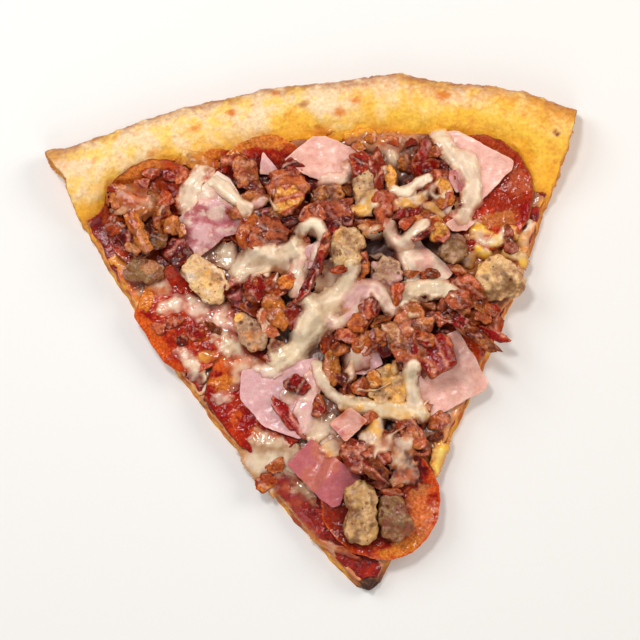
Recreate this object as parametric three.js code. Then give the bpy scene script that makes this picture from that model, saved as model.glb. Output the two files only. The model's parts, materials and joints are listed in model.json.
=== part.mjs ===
// A slice of a round meat pizza, one sixth of the pie, lying flat with its point towards -Y.
// Millimetres, +Z up. The origin is under the middle of the slice's outline, on its flat underside.
import * as THREE from 'three';
import { mergeVertices } from 'three/addons/utils/BufferGeometryUtils.js';

// ---------------------------------------------------------------- driving dimensions

const TIP = new THREE.Vector2(19.7, -88.4);   // the point of the slice
const LEFT_CUT = THREE.MathUtils.degToRad(126.8);   // direction of the left cut, from the point
const RIGHT_CUT = THREE.MathUtils.degToRad(66.4);   // direction of the right cut
const PIE_RADIUS = 173.6;      // point to outer edge, where the edge is not stretched
const CORNER_STRETCH = 11;     // how far the left corner was pulled out
const LEFT_BOW = 8.6;          // how far the wheel cut strays outwards, left
const RIGHT_BOW = 5;           // and right
const TIP_ROUNDING = 1.4;      // half width of the blunt point
const TIP_FADE = 9;            // along which the point's blunting dies away

const DOUGH = 5.5;             // dough under the toppings
const RIM_HEIGHT = 13.2;       // puffed outer rim
const RIM_WIDTH = 18.5;        // visible width of the rim
const RIM_SHOULDER = 0.46;     // share of the rim's rise reached at its outer shoulder
const CUT_SLOPE = 1.7;         // how much wider the base is than the top at a cut
const SAUCE = 0.8;             // layer of sauce
const CHEESE = 1.7;            // mean layer of melted cheese
const CHEESE_RELIEF = 0.5;     // bubbles and hollows in the cheese
const GAP = 0.3;               // clearance between touching pieces
const STEEPEST = 0.6;          // rise over run at which a topping that leans on another can lie

const PEPPERONI_THICKNESS = 1.6;
const HAM_THICKNESS = 1.9;
const SAUSAGE_THICKNESS = 7.2;
const BACON_THICKNESS = 3.0;
const STRAND_THICKNESS = 2.0;

const COLOURS = {
  crust: 0xe3ac55, sauce: 0x8a1409, cheese: 0xe2bd8e, pepperoni: 0xa3411f,
  ham: 0xe0a9a0, sausage: 0xb98d58, bacon: 0x9c3a2c, strand: 0xe3cda4,
};

// ---------------------------------------------------------------- the slice's outline

const ray = angle => new THREE.Vector2(Math.cos(angle), Math.sin(angle));
const LEFT_OUTWARD = ray(LEFT_CUT + Math.PI / 2);
const RIGHT_OUTWARD = ray(RIGHT_CUT - Math.PI / 2);
const bump = (x, middle, width) => Math.exp(-(((x - middle) / width) ** 2));
const wave = (x, phase) => 0.5 * Math.sin(x + phase) + 0.3 * Math.sin(2.3 * x + 1.7 * phase)
  + 0.2 * Math.sin(4.9 * x + 2.9 * phase);

// Outer radius across the slice; u runs from 0 at the left cut to 1 at the right cut.
function outerRadius(u) {
  const fromRight = 1 - u;
  return PIE_RADIUS + CORNER_STRETCH * fromRight ** 4 + 5.4 * bump(fromRight, 0.09, 0.13)
    + 3.2 * bump(fromRight, 0.34, 0.09);
}

// The rim is wider where it meets the cuts.
const rimWidth = u => RIM_WIDTH + 7 * bump(u, 0, 0.08) + 11 * bump(u, 1, 0.09) + 1.6 * wave(19 * u, 2);
const rimHeight = u => RIM_HEIGHT + 1.1 * wave(15 * u, 0.6);

// How far a cut lies outside its straight line, at a distance from the point.
function bow(amount, power, distance) {
  const along = THREE.MathUtils.clamp(distance / PIE_RADIUS, 0, 1);
  return amount * Math.sin(Math.PI * along) ** power + TIP_ROUNDING * Math.exp(-distance / TIP_FADE);
}
const leftBow = distance => bow(LEFT_BOW, 0.55, distance);
const rightBow = distance => bow(RIGHT_BOW, 0.7, distance);

// A place on the slice, at a distance from the point and a share u of the way across,
// with both cuts moved in by an inset.
function place(u, distance, inset) {
  const point = ray(THREE.MathUtils.lerp(LEFT_CUT, RIGHT_CUT, u)).multiplyScalar(distance).add(TIP);
  point.addScaledVector(LEFT_OUTWARD, (1 - u) * (leftBow(distance) - inset));
  return point.addScaledVector(RIGHT_OUTWARD, u * (rightBow(distance) - inset));
}

// Moves a point that lies past a cut back onto that cut.
function trimToCuts(point, inset) {
  const from = point.clone().sub(TIP);
  for (const [outward, bowAt] of [[LEFT_OUTWARD, leftBow], [RIGHT_OUTWARD, rightBow]]) {
    const past = from.dot(outward) - bowAt(from.length()) + inset;
    if (past > 0) point.addScaledVector(outward, -past);
  }
  return point;
}

// ---------------------------------------------------------------- closed solids

function solid(name, positions, triangles, kind) {
  const raw = new THREE.BufferGeometry();
  raw.setAttribute('position', new THREE.Float32BufferAttribute(positions, 3));
  raw.setIndex(triangles);
  const geometry = mergeVertices(raw, 1e-4);
  geometry.computeVertexNormals();
  const material = new THREE.MeshStandardMaterial({ color: COLOURS[kind], roughness: 0.6, metalness: 0 });
  const mesh = new THREE.Mesh(geometry, material);
  mesh.name = name;
  return mesh;
}

// A layer over the whole slice: a grid of top points, rings of side points below its border, and a
// flat base. top(u, j) and side(u, j, k) give points; the grid's first row is a single point.
function layer(name, kind, columns, rows, sideRings, top, side) {
  const positions = [];
  const triangles = [];
  const add = p => positions.push(p.x, p.y, p.z) / 3 - 1;
  const face = (a, b, c) => {
    if (a !== b && b !== c && a !== c) triangles.push(a, b, c);
  };
  const grid = [];
  for (let j = 0; j <= rows; j++) {
    const row = [];
    for (let i = 0; i <= columns; i++) {
      row.push(j === 0 && i > 0 ? row[0] : add(top(j === 0 ? 0.5 : i / columns, j)));
    }
    grid.push(row);
  }
  for (let j = 0; j < rows; j++) {
    for (let i = 0; i < columns; i++) {
      face(grid[j][i], grid[j][i + 1], grid[j + 1][i + 1]);
      face(grid[j][i], grid[j + 1][i + 1], grid[j + 1][i]);
    }
  }
  const border = [{ u: 0.5, j: 0 }];
  for (let j = 1; j <= rows; j++) border.push({ u: 1, j });
  for (let i = columns - 1; i >= 0; i--) border.push({ u: i / columns, j: rows });
  for (let j = rows - 1; j >= 1; j--) border.push({ u: 0, j });
  let above = border.map(({ u, j }) => grid[j][Math.round(u * columns)]);
  for (let k = 1; k <= sideRings; k++) {
    const below = border.map(({ u, j }) => add(side(u, j, k)));
    for (let n = 0; n < border.length; n++) {
      const next = (n + 1) % border.length;
      face(above[n], below[n], below[next]);
      face(above[n], below[next], above[next]);
    }
    above = below;
  }
  const outline = above.map(n => new THREE.Vector2(positions[3 * n], positions[3 * n + 1]));
  for (const [a, b, c] of THREE.ShapeUtils.triangulateShape(outline, [])) {
    face(above[a], above[c], above[b]);
  }
  return solid(name, positions, triangles, kind);
}

// ---------------------------------------------------------------- crust, sauce and cheese

const CRUST_COLUMNS = 24;
const FLOOR_ROWS = 8;
const RIM_ROWS = 11;
// Side rings of the crust, top to bottom: inset at the cuts, inset at the rim, share of the height.
const CRUST_SIDE = [
  { cut: CUT_SLOPE, rim: 1.3, height: 1 },
  { cut: 0.8, rim: 0, height: 0.55 },
  { cut: 0.2, rim: 0.9, height: 0.2 },
  { cut: 0, rim: 3.2, height: 0 },
];

// Height of the dough; q runs from 0 at the outer shoulder to 1 at the rim's inner foot.
function doughHeight(u, q) {
  if (q >= 1) return DOUGH;
  const dome = Math.sin(Math.PI * q ** 0.8) ** 0.85;
  const shoulder = RIM_SHOULDER * (1 - q) ** 2.5;
  return DOUGH + (rimHeight(u) - DOUGH) * Math.min(1, Math.max(dome, shoulder) + 0.25 * shoulder);
}

function crustPoint(u, j, ring) {
  const { cut, rim, height } = CRUST_SIDE[ring];
  const edge = outerRadius(u) - rim;
  const foot = outerRadius(u) - rimWidth(u);
  const start = 2 * cut;
  const q = THREE.MathUtils.clamp(1 - (j - FLOOR_ROWS) / RIM_ROWS, 0, 1);
  const distance = j <= FLOOR_ROWS
    ? THREE.MathUtils.lerp(start, foot, j / FLOOR_ROWS)
    : THREE.MathUtils.lerp(edge, foot, q);
  const point = place(u, distance, cut);
  return new THREE.Vector3(point.x, point.y, height * doughHeight(u, q));
}

function crust() {
  return layer('crust', 'crust', CRUST_COLUMNS, FLOOR_ROWS + RIM_ROWS, CRUST_SIDE.length - 1,
    (u, j) => crustPoint(u, j, 0), crustPoint);
}

// A spread layer on the dough: its edge at the rim wanders, and so do its edges at the cuts.
function spread(name, kind, columns, rows, options) {
  const { rimInset, rimWander, cutInset, cutWander, base, thickness, relief, phase } = options;
  const at = (u, j, widen) => {
    const v = j / rows;
    const reach = outerRadius(u) - rimWidth(u) - rimInset + rimWander * wave(23 * u, phase) + widen;
    const inset = cutInset + cutWander * wave(11 * v, phase + 9 * Math.round(u)) - widen;
    return place(u, THREE.MathUtils.lerp(2 * inset + 1, reach, v), inset);
  };
  const height = (u, j) => {
    const lumps = relief * wave(16 * u + 3 * Math.sin(9 * j / rows), phase) * wave(2 * j + 5 * u, phase);
    return base + thickness + lumps;
  };
  const top = (u, j) => new THREE.Vector3(...at(u, j, 0).toArray(), height(u, j));
  const side = (u, j, k) => {
    const z = k === 1 ? base + 0.45 * thickness : base;
    return new THREE.Vector3(...at(u, j, k === 1 ? 0.5 : 0.2).toArray(), z);
  };
  return layer(name, kind, columns, rows, 2, top, side);
}

const sauceLayer = () => spread('sauce', 'sauce', 16, 10, {
  rimInset: 1.9, rimWander: 0.3, cutInset: CUT_SLOPE + 0.6, cutWander: 0.3,
  base: DOUGH + GAP, thickness: SAUCE, relief: 0, phase: 1,
});

const cheeseLayer = () => spread('cheese', 'cheese', 18, 14, {
  rimInset: 3.4, rimWander: 1.6, cutInset: CUT_SLOPE + 1.4, cutWander: 1.3,
  base: DOUGH + SAUCE + 2 * GAP, thickness: CHEESE, relief: CHEESE_RELIEF, phase: 4,
});

// ---------------------------------------------------------------- what the toppings rest on

// The height of everything laid so far, on a fine grid of cells. Both what is laid and what is
// asked for reach a margin past their own triangles, so that no corner slips in between two cells.
const CELL = 0.5;
const MARGIN = 0.36;
const FIELD = { x: -100, y: -100, columns: 400, rows: 400 };
const field = new Float32Array(FIELD.columns * FIELD.rows).fill(-Infinity);

function eachCell([a, b, c], visit) {
  const area = (b.x - a.x) * (c.y - a.y) - (b.y - a.y) * (c.x - a.x);
  if (Math.abs(area) < 1e-6) return;
  const sides = [[a, b], [b, c], [c, a]].map(([p, q]) => {
    const length = Math.hypot(q.x - p.x, q.y - p.y) * Math.sign(area);
    return { p, nx: -(q.y - p.y) / length, ny: (q.x - p.x) / length };
  });
  const cell = (value, start) => (value - start) / CELL;
  const x0 = Math.floor(cell(Math.min(a.x, b.x, c.x) - MARGIN, FIELD.x));
  const x1 = Math.ceil(cell(Math.max(a.x, b.x, c.x) + MARGIN, FIELD.x));
  const y0 = Math.floor(cell(Math.min(a.y, b.y, c.y) - MARGIN, FIELD.y));
  const y1 = Math.ceil(cell(Math.max(a.y, b.y, c.y) + MARGIN, FIELD.y));
  for (let row = y0; row <= y1; row++) {
    for (let column = x0; column <= x1; column++) {
      const x = FIELD.x + column * CELL;
      const y = FIELD.y + row * CELL;
      if (sides.every(({ p, nx, ny }) => (x - p.x) * nx + (y - p.y) * ny > -MARGIN)) {
        visit(row * FIELD.columns + column, x, y);
      }
    }
  }
}

function lay(mesh) {
  const position = mesh.geometry.attributes.position;
  const index = mesh.geometry.index;
  const corner = n => new THREE.Vector3().fromBufferAttribute(position, index.getX(n));
  for (let n = 0; n < index.count; n += 3) {
    const triangle = [corner(n), corner(n + 1), corner(n + 2)];
    const [a, b, c] = triangle;
    const normal = b.clone().sub(a).cross(c.clone().sub(a));
    if (normal.z <= 1e-3 * normal.length()) continue;
    const highest = Math.max(a.z, b.z, c.z);
    eachCell(triangle, (cell, x, y) => {
      const z = a.z - (normal.x * (x - a.x) + normal.y * (y - a.y)) / normal.z;
      field[cell] = Math.max(field[cell], Math.min(z + 0.1, highest));
    });
  }
}

function highestUnder(triangle) {
  let highest = -Infinity;
  eachCell(triangle, cell => { highest = Math.max(highest, field[cell]); });
  return highest;
}

// ---------------------------------------------------------------- toppings

// Lays a flat pattern of points and triangles on what is there, as a closed solid. Each point has
// its own thickness and lift; a point with nothing under it hangs a little below its neighbours.
function drape(name, kind, pattern) {
  const { points, faces, border, thickness, lift } = pattern;
  const rest = points.map(() => -Infinity);
  for (const face of faces) {
    const highest = highestUnder(face.map(n => points[n]));
    for (const n of face) rest[n] = Math.max(rest[n], highest);
  }
  const lowest = Math.min(...rest.filter(Number.isFinite)) - 0.4;
  const supported = rest.map(z => (Number.isFinite(z) ? z : lowest));
  const bottom = points.map((p, n) => GAP + lift[n]
    + Math.max(...points.map((q, m) => supported[m] - STEEPEST * p.distanceTo(q))));
  const positions = [];
  points.forEach((p, n) => positions.push(p.x, p.y, bottom[n] + thickness[n]));
  points.forEach((p, n) => positions.push(p.x, p.y, bottom[n]));
  const triangles = [];
  const count = points.length;
  for (const [a, b, c] of faces) {
    triangles.push(a, b, c);
    triangles.push(a + count, c + count, b + count);
  }
  border.forEach((a, n) => {
    const b = border[(n + 1) % border.length];
    triangles.push(a, a + count, b + count, a, b + count, b);
  });
  const mesh = solid(name, positions, triangles, kind);
  lay(mesh);
  return mesh;
}

// A round pattern: rings of an outline about its centre. crown is how much thicker the middle is
// than the edge, cup how far the edge stands up.
function rings(outline, ringCount, thickness, crown, cup) {
  const centre = outline.reduce((sum, p) => sum.add(p), new THREE.Vector2()).divideScalar(outline.length);
  const points = [centre];
  const share = [0];
  const faces = [];
  const spokes = outline.length;
  for (let ring = 1; ring <= ringCount; ring++) {
    const out = (ring / ringCount) ** 0.8;
    outline.forEach(p => {
      points.push(centre.clone().lerp(p, out));
      share.push(out);
    });
  }
  for (let s = 0; s < spokes; s++) {
    const t = (s + 1) % spokes;
    faces.push([0, 1 + s, 1 + t]);
    for (let ring = 1; ring < ringCount; ring++) {
      const inner = 1 + (ring - 1) * spokes;
      const outer = inner + spokes;
      faces.push([inner + s, outer + s, outer + t], [inner + s, outer + t, inner + t]);
    }
  }
  const last = 1 + (ringCount - 1) * spokes;
  return {
    points, faces, border: outline.map((_, s) => last + s),
    thickness: share.map(q => thickness * (1 - crown * q ** 3)), lift: share.map(q => cup * q ** 3),
  };
}

// An uneven oval outline, turned by an angle in degrees; rough is how lumpy it is.
function oval({ x, y, length, width = length, turn = 0 }, spokes, rough) {
  const angle = THREE.MathUtils.degToRad(turn);
  return Array.from({ length: spokes }, (_, s) => {
    const around = 2 * Math.PI * s / spokes;
    const reach = 0.5 * (1 + rough * wave(2 * around, x + y) * Math.sin(around / 2));
    const along = new THREE.Vector2(length * reach * Math.cos(around), width * reach * Math.sin(around));
    return along.rotateAround(new THREE.Vector2(), angle).add(new THREE.Vector2(x, y));
  });
}

// A sheet's outline through a few corners, with points spaced evenly along each side.
function cutSheet(corners, spokes) {
  const points = corners.map(([x, y]) => new THREE.Vector2(x, y));
  const sides = points.map((p, n) => p.distanceTo(points[(n + 1) % points.length]));
  const around = sides.reduce((sum, side) => sum + side);
  return points.flatMap((p, n) => {
    const steps = Math.max(1, Math.round(spokes * sides[n] / around));
    const next = points[(n + 1) % points.length];
    return Array.from({ length: steps }, (_, s) => p.clone().lerp(next, s / steps));
  });
}

// A melted strand: a band along a smooth path through a few points.
function band(path, width, thickness) {
  const steps = 7;
  const across = [-1, -0.35, 0.35, 1];
  const curve = new THREE.CatmullRomCurve3(path.map(([x, y]) => new THREE.Vector3(x, y, 0)));
  const points = [];
  const depth = [];
  for (let s = 0; s <= steps; s++) {
    const middle = curve.getPoint(s / steps);
    const along = curve.getTangent(s / steps);
    const taper = 0.45 + 0.55 * Math.sin(Math.PI * s / steps) ** 0.5;
    for (const side of across) {
      const half = 0.5 * width * taper * side;
      points.push(new THREE.Vector2(middle.x - along.y * half, middle.y + along.x * half));
      depth.push(thickness * (1 - 0.65 * side ** 2));
    }
  }
  const at = (s, k) => s * across.length + k;
  const faces = [];
  for (let s = 0; s < steps; s++) {
    for (let k = 0; k < across.length - 1; k++) {
      faces.push([at(s, k), at(s + 1, k), at(s + 1, k + 1)], [at(s, k), at(s + 1, k + 1), at(s, k + 1)]);
    }
  }
  const last = across.length - 1;
  const border = [];
  for (let s = 0; s < steps; s++) border.push(at(s, 0));
  for (let k = 0; k < last; k++) border.push(at(steps, k));
  for (let s = steps; s > 0; s--) border.push(at(s, last));
  for (let k = last; k > 0; k--) border.push(at(0, k));
  return { points, faces, border, thickness: depth, lift: depth.map(() => 0) };
}

const pepperoni = (name, { x, y, radius, cup = 0.8, overhang = 0 }) => {
  const outline = oval({ x, y, length: 2 * radius }, 18, 0.05);
  outline.forEach(p => trimToCuts(p, CUT_SLOPE - overhang));
  return drape(name, 'pepperoni', rings(outline, 2, PEPPERONI_THICKNESS, 0, cup));
};
const ham = (name, { corners }) => drape(name, 'ham',
  rings(cutSheet(corners, 14), 2, HAM_THICKNESS, 0.2, 0));
const sausage = (name, shape) => drape(name, 'sausage',
  rings(oval(shape, 12, 0.22), 2, shape.thickness ?? SAUSAGE_THICKNESS, 0.72, 0));
const bacon = (name, shape) => drape(name, 'bacon',
  rings(oval(shape, 10, 0.4), 2, shape.thickness ?? BACON_THICKNESS, 0.5, 0.3));
const strand = (name, { path, width, thickness = STRAND_THICKNESS }) => drape(name, 'strand',
  band(path, width, thickness));

// Every topping, from the lowest to the highest: what makes it, and its place and size.
const TOPPINGS = [
  [pepperoni, { x: 54.7, y: 46.2, radius: 20.7 }],
  [pepperoni, { x: -31.6, y: 45.9, radius: 16 }],
  [pepperoni, { x: -52.7, y: 38.4, radius: 19.4 }],
  [pepperoni, { x: -16, y: 46.6, radius: 19.4 }],
  [pepperoni, { x: -41.8, y: 4.1, radius: 19, overhang: 3.2 }],
  [pepperoni, { x: -17.3, y: -23.1, radius: 19.4 }],
  [pepperoni, { x: 45.9, y: 1.7, radius: 16 }],
  [pepperoni, { x: 22.8, y: -57.8, radius: 20.4, cup: 1.6, overhang: 30 }],
  [ham, { corners: [[39.8, 67.7], [45.6, 54.4], [50.7, 44.2], [56.1, 42.5], [67.7, 54.4], [68.3, 57.5],
    [49.6, 67.7]] }],
  [ham, { corners: [[-47.9, 35.7], [-42.5, 27.2], [-40.1, 23.1], [-29.9, 31.3], [-21.4, 33.3],
    [-26.5, 40.1], [-33.3, 43.9], [-41.8, 40.8]] }],
  [ham, { corners: [[-41.5, 41.1], [-24.8, 39.4], [-23.1, 42.5], [-28.2, 51], [-32.3, 53.7],
    [-38.4, 47.6]] }],
  [ham, { corners: [[-9.9, 57.8], [-3.4, 52.7], [7.5, 48.6], [13.3, 56.1], [17.7, 60.5], [4.1, 66.3],
    [-0.3, 66]] }],
  [ham, { corners: [[-24.1, -14.3], [-24.8, -23.8], [-16.3, -33.3], [-4.4, -37.4], [-1, -34.7],
    [4.1, -15.3], [1.7, -9.5], [-18, -12.9]] }],
  [ham, { corners: [[28.9, 30.6], [30.3, 22.1], [32.3, 14.3], [45.9, 17], [48.3, 20.4], [38.1, 27.9],
    [35.7, 31.3]] }],
  [ham, { corners: [[11.5, 7], [17, 4.5], [26, 7], [28.5, 10.5], [21, 13], [13.5, 12]] }],
  [ham, { corners: [[9.8, -9.5], [11.5, -14.6], [17.5, -15.8], [23.6, -12.2], [22.5, -7.2],
    [14.5, -5.9]] }],
  [bacon, { x: 55.5, y: -1.5, length: 20, width: 7, turn: -22, thickness: 2.2 }],
  [ham, { corners: [[43.2, -3.4], [43.9, -8.5], [35.7, -17], [36.4, -26.5], [39.8, -30.6],
    [58.5, -20.4], [59.8, -18], [49, -0.3]] }],
  [ham, { corners: [[5.1, -31.6], [9.2, -37.4], [12.6, -38.1], [18.7, -30.6], [14.3, -26.5],
    [8.5, -27.2]] }],
  [ham, { corners: [[-8.8, -45.9], [1.7, -56.8], [6.5, -60.5], [9.2, -59.5], [10.9, -54.4],
    [16.7, -50.3], [9.2, -44.9], [-0.3, -37.1]] }],
  [bacon, { x: -24.1, y: 55.2, length: 10.5, width: 9.5, turn: 30 }],
  [bacon, { x: -8, y: 46.4, length: 14, width: 10.4, turn: 100 }],
  [bacon, { x: -16.6, y: 32.2, length: 13.5, width: 11.5, turn: 20 }],
  [bacon, { x: 7.6, y: 38.2, length: 12, width: 10, turn: 80 }],
  [bacon, { x: 40, y: 57, length: 12.4, width: 10.5, turn: 50 }],
  [bacon, { x: 41, y: 46.8, length: 13.5, width: 9.5, turn: -35 }],
  [bacon, { x: -15.8, y: 13, length: 14.5, width: 12, turn: 70 }],
  [bacon, { x: -12.8, y: 3.2, length: 12, width: 7.5, turn: 100 }],
  [bacon, { x: 16.8, y: 2.6, length: 15, width: 7.6, turn: 95 }],
  [bacon, { x: 32.4, y: -1.6, length: 16, width: 8.4, turn: 85 }],
  [bacon, { x: 40.8, y: -8.8, length: 11.5, width: 10, turn: 20 }],
  [bacon, { x: 51.6, y: 12.4, length: 10, width: 8, turn: 60 }],
  [bacon, { x: -5.6, y: -19, length: 9, width: 7.6, turn: 0 }],
  [bacon, { x: 20.6, y: -45, length: 16, width: 12, turn: -30 }],
  [bacon, { x: 33.6, y: -34.6, length: 11.5, width: 8.5, turn: -55 }],
  [bacon, { x: 29, y: 40.6, length: 13, width: 9, turn: 20 }],
  [sausage, { x: -57.8, y: 19.6, length: 13.6, width: 8.2, turn: 8, thickness: 5.6 }],
  [sausage, { x: -58, y: 26.6, length: 9, width: 6.5, turn: 40, thickness: 5 }],
  [sausage, { x: -35.7, y: 16, length: 18, width: 13.6, turn: -20 }],
  [sausage, { x: 19.6, y: 46.4, length: 17, width: 12.6, turn: 100 }],
  [sausage, { x: 10.9, y: 27.2, length: 13, width: 12, turn: 60 }],
  [sausage, { x: 24.8, y: 18.7, length: 13, width: 10, turn: 75, thickness: 6 }],
  [sausage, { x: -20.3, y: -1.5, length: 12.4, width: 11.8, turn: 20 }],
  [sausage, { x: -10.8, y: -7.4, length: 8.4, width: 6.4, turn: -50, thickness: 4.6 }],
  [sausage, { x: 47.8, y: 27.4, length: 11, width: 10, turn: 30, thickness: 5.5 }],
  [sausage, { x: 63.4, y: 17.2, length: 18, width: 14.5, turn: -30 }],
  [sausage, { x: 25.3, y: -17.4, length: 14, width: 12, turn: 95 }],
  [sausage, { x: 26.6, y: -63.8, length: 14.5, width: 9.4, turn: 95, thickness: 6.4 }],
  [sausage, { x: 15.6, y: -61.6, length: 19.4, width: 10.6, turn: 93, thickness: 8.2 }],
  [sausage, { x: 5, y: 45, length: 11.5, width: 9, turn: 15, thickness: 5.4 }],
  [strand, { path: [[-36.4, 54.6], [-39.6, 50.6], [-42, 46.4], [-44.6, 43]], width: 5 }],
  [strand, { path: [[44.6, 67.4], [46.8, 61.6], [49.4, 56.6], [51, 52.6]], width: 5.6 }],
  [strand, { path: [[53.2, 56.4], [54.8, 51], [55.2, 45], [53.6, 39]], width: 5.2 }],
  [strand, { path: [[-24.8, 21.1], [-18, 24.6], [-11, 26.8], [-4.4, 26.6]], width: 6.4 }],
  [strand, { path: [[10, 10.6], [3.4, 5.4], [-2.4, -3], [-9.6, -11.2]], width: 6.6 }],
  [strand, { path: [[13.3, -25.5], [20.4, -26.6], [28.4, -27.8], [36.6, -27.6]], width: 5.4 }],
  [strand, { path: [[29.6, 8.6], [36, 10.2], [42.4, 12.4], [48.6, 13]], width: 6.2 }],
];

const LABEL = new Map([
  [pepperoni, 'pepperoni'], [ham, 'ham'], [sausage, 'sausage'], [bacon, 'bacon'], [strand, 'cheese_strand'],
]);

// ---------------------------------------------------------------- the slice

const group = new THREE.Group();
for (const make of [crust, sauceLayer, cheeseLayer]) {
  const mesh = make();
  lay(mesh);
  group.add(mesh);
}
const tally = new Map();
for (const [make, shape] of TOPPINGS) {
  const number = (tally.get(make) ?? 0) + 1;
  tally.set(make, number);
  group.add(make(`${LABEL.get(make)}_${number}`, shape));
}

export default group;
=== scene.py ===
"""A slice of meat pizza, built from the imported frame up: dough, sauce, cheese, then each topping.

Sizes are in millimetres until a mesh is written. Every new piece is a surface of two parameters,
worked out as whole arrays, and rests on a height map of what was laid before it.
"""

import itertools
import json
import logging
import math
from dataclasses import dataclass, field, replace
from enum import Enum
from typing import ClassVar, Iterable, Optional, Sequence

import bpy
import numpy as np
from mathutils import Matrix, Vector
from mathutils.geometry import tessellate_polygon

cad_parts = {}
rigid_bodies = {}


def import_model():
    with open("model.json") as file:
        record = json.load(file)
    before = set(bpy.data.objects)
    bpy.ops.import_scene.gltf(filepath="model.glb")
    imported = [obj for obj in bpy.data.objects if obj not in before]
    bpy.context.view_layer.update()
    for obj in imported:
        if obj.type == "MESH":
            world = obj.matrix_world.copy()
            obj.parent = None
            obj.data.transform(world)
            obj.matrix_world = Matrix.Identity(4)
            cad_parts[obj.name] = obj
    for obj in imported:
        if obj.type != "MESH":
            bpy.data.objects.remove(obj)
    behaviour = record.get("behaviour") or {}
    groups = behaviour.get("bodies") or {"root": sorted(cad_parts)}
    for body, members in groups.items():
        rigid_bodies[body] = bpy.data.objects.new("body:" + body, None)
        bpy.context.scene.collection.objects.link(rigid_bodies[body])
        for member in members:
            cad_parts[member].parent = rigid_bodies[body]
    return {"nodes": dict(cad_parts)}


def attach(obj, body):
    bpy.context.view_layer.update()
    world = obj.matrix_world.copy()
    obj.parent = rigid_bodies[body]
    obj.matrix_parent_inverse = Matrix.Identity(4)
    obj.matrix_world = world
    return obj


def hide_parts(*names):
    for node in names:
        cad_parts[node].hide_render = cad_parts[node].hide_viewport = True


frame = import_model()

log = logging.getLogger("pizza_slice")
Array = np.ndarray
Socket = bpy.types.NodeSocket
Material = bpy.types.Material
Colour = tuple[float, float, float]
MM = 0.001
TABLE = 4096
PRIMES = (73856093, 19349663, 83492791)
SLOPES_SEED = 7919
DOTS_SEED = 104729
ORIGIN = np.array([17.3, 5.1, 11.7])
UNDERSIDE = -2.0


# ------------------------------------------------------------------ noise

@dataclass(frozen=True)
class Noise:
    """Smooth random values in space, always the same for the same seed."""

    seed: int = 0

    @staticmethod
    def _key(cell: Array) -> Array:
        """A large whole number for each lattice cube: its indices times three primes, combined."""
        return (cell[:, 0] * PRIMES[0]) ^ (cell[:, 1] * PRIMES[1]) ^ (cell[:, 2] * PRIMES[2])

    def smooth(self, points: Array, size: float) -> Array:
        """Gradient noise: at each corner of a cubic lattice a random slope, blended by smoothstep.

        Args:
            points: Places, one row of three each.
            size: Side of a lattice cube.

        Returns:
            One value per place, about -1 to 1.
        """
        slopes = np.random.default_rng(SLOPES_SEED).normal(size=(TABLE, 3))
        slopes /= np.linalg.norm(slopes, axis=1, keepdims=True)
        scaled = points / size + ORIGIN * (self.seed + 1)
        cell = np.floor(scaled).astype(np.int64)
        inside = scaled - cell
        blend = inside ** 3 * (inside * (inside * 6 - 15) + 10)
        total = np.zeros(len(points))
        for corner in itertools.product((0, 1), repeat=3):
            slope = slopes[(self._key(cell + np.array(corner)) + self.seed * 101) % TABLE]
            rise = ((inside - np.array(corner)) * slope).sum(1)
            total += rise * np.where(np.array(corner) == 1, blend, 1 - blend).prod(1)
        return 1.6 * total

    def layered(self, points: Array, size: float, octaves: int = 4, gain: float = 0.5) -> Array:
        """Sum of smooth noises, each half the size and gain times the strength of the last.

        Args:
            points: Places, one row of three each.
            size: Size of the broadest noise.
            octaves: How many noises.
            gain: How much weaker each next one is.

        Returns:
            One value per place.
        """
        return sum(gain ** n * Noise(self.seed + 31 * n).smooth(points, size / 2 ** n)
                   for n in range(octaves))

    def cells(self, points: Array, size: float) -> Array:
        """Distance to the nearest of a set of scattered dots, one at random in each lattice cube.

        Args:
            points: Places, one row of three each.
            size: Side of a lattice cube.

        Returns:
            One distance per place, in cubes; the 27 nearest cubes are tried.
        """
        scaled = points / size + 3.7 * self.seed
        cell = np.floor(scaled).astype(np.int64)
        nearest = np.full(len(points), 9.0)
        table = np.random.default_rng(DOTS_SEED + self.seed).random((TABLE, 3))
        for shift in itertools.product((-1, 0, 1), repeat=3):
            at = cell + np.array(shift)
            nearest = np.minimum(nearest, ((at + table[self._key(at) % TABLE] - scaled) ** 2).sum(1))
        return np.sqrt(nearest)


def fade(low: float, high: float, value: Array) -> Array:
    """0 below low, 1 above high, and a smooth cubic rise between."""
    share = np.clip((value - low) / (high - low), 0, 1)
    return share * share * (3 - 2 * share)


def bell(taps: int, spread: float) -> Array:
    """Weights of a bell curve at whole steps from -taps to taps, which add up to one."""
    weights = np.exp(-0.5 * (np.arange(-taps, taps + 1) / spread) ** 2)
    return weights / weights.sum()


def bump(value: Array, middle: float, width: float) -> Array:
    """A bell curve of height 1."""
    return np.exp(-(((value - middle) / width) ** 2))


def wave(value: Array, phase: float) -> Array:
    """Three sines of unrelated lengths, for edges that wander."""
    return (0.5 * np.sin(value + phase) + 0.3 * np.sin(2.3 * value + 1.7 * phase)
            + 0.2 * np.sin(4.9 * value + 2.9 * phase))


# ------------------------------------------------------------------ surfaces

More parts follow.
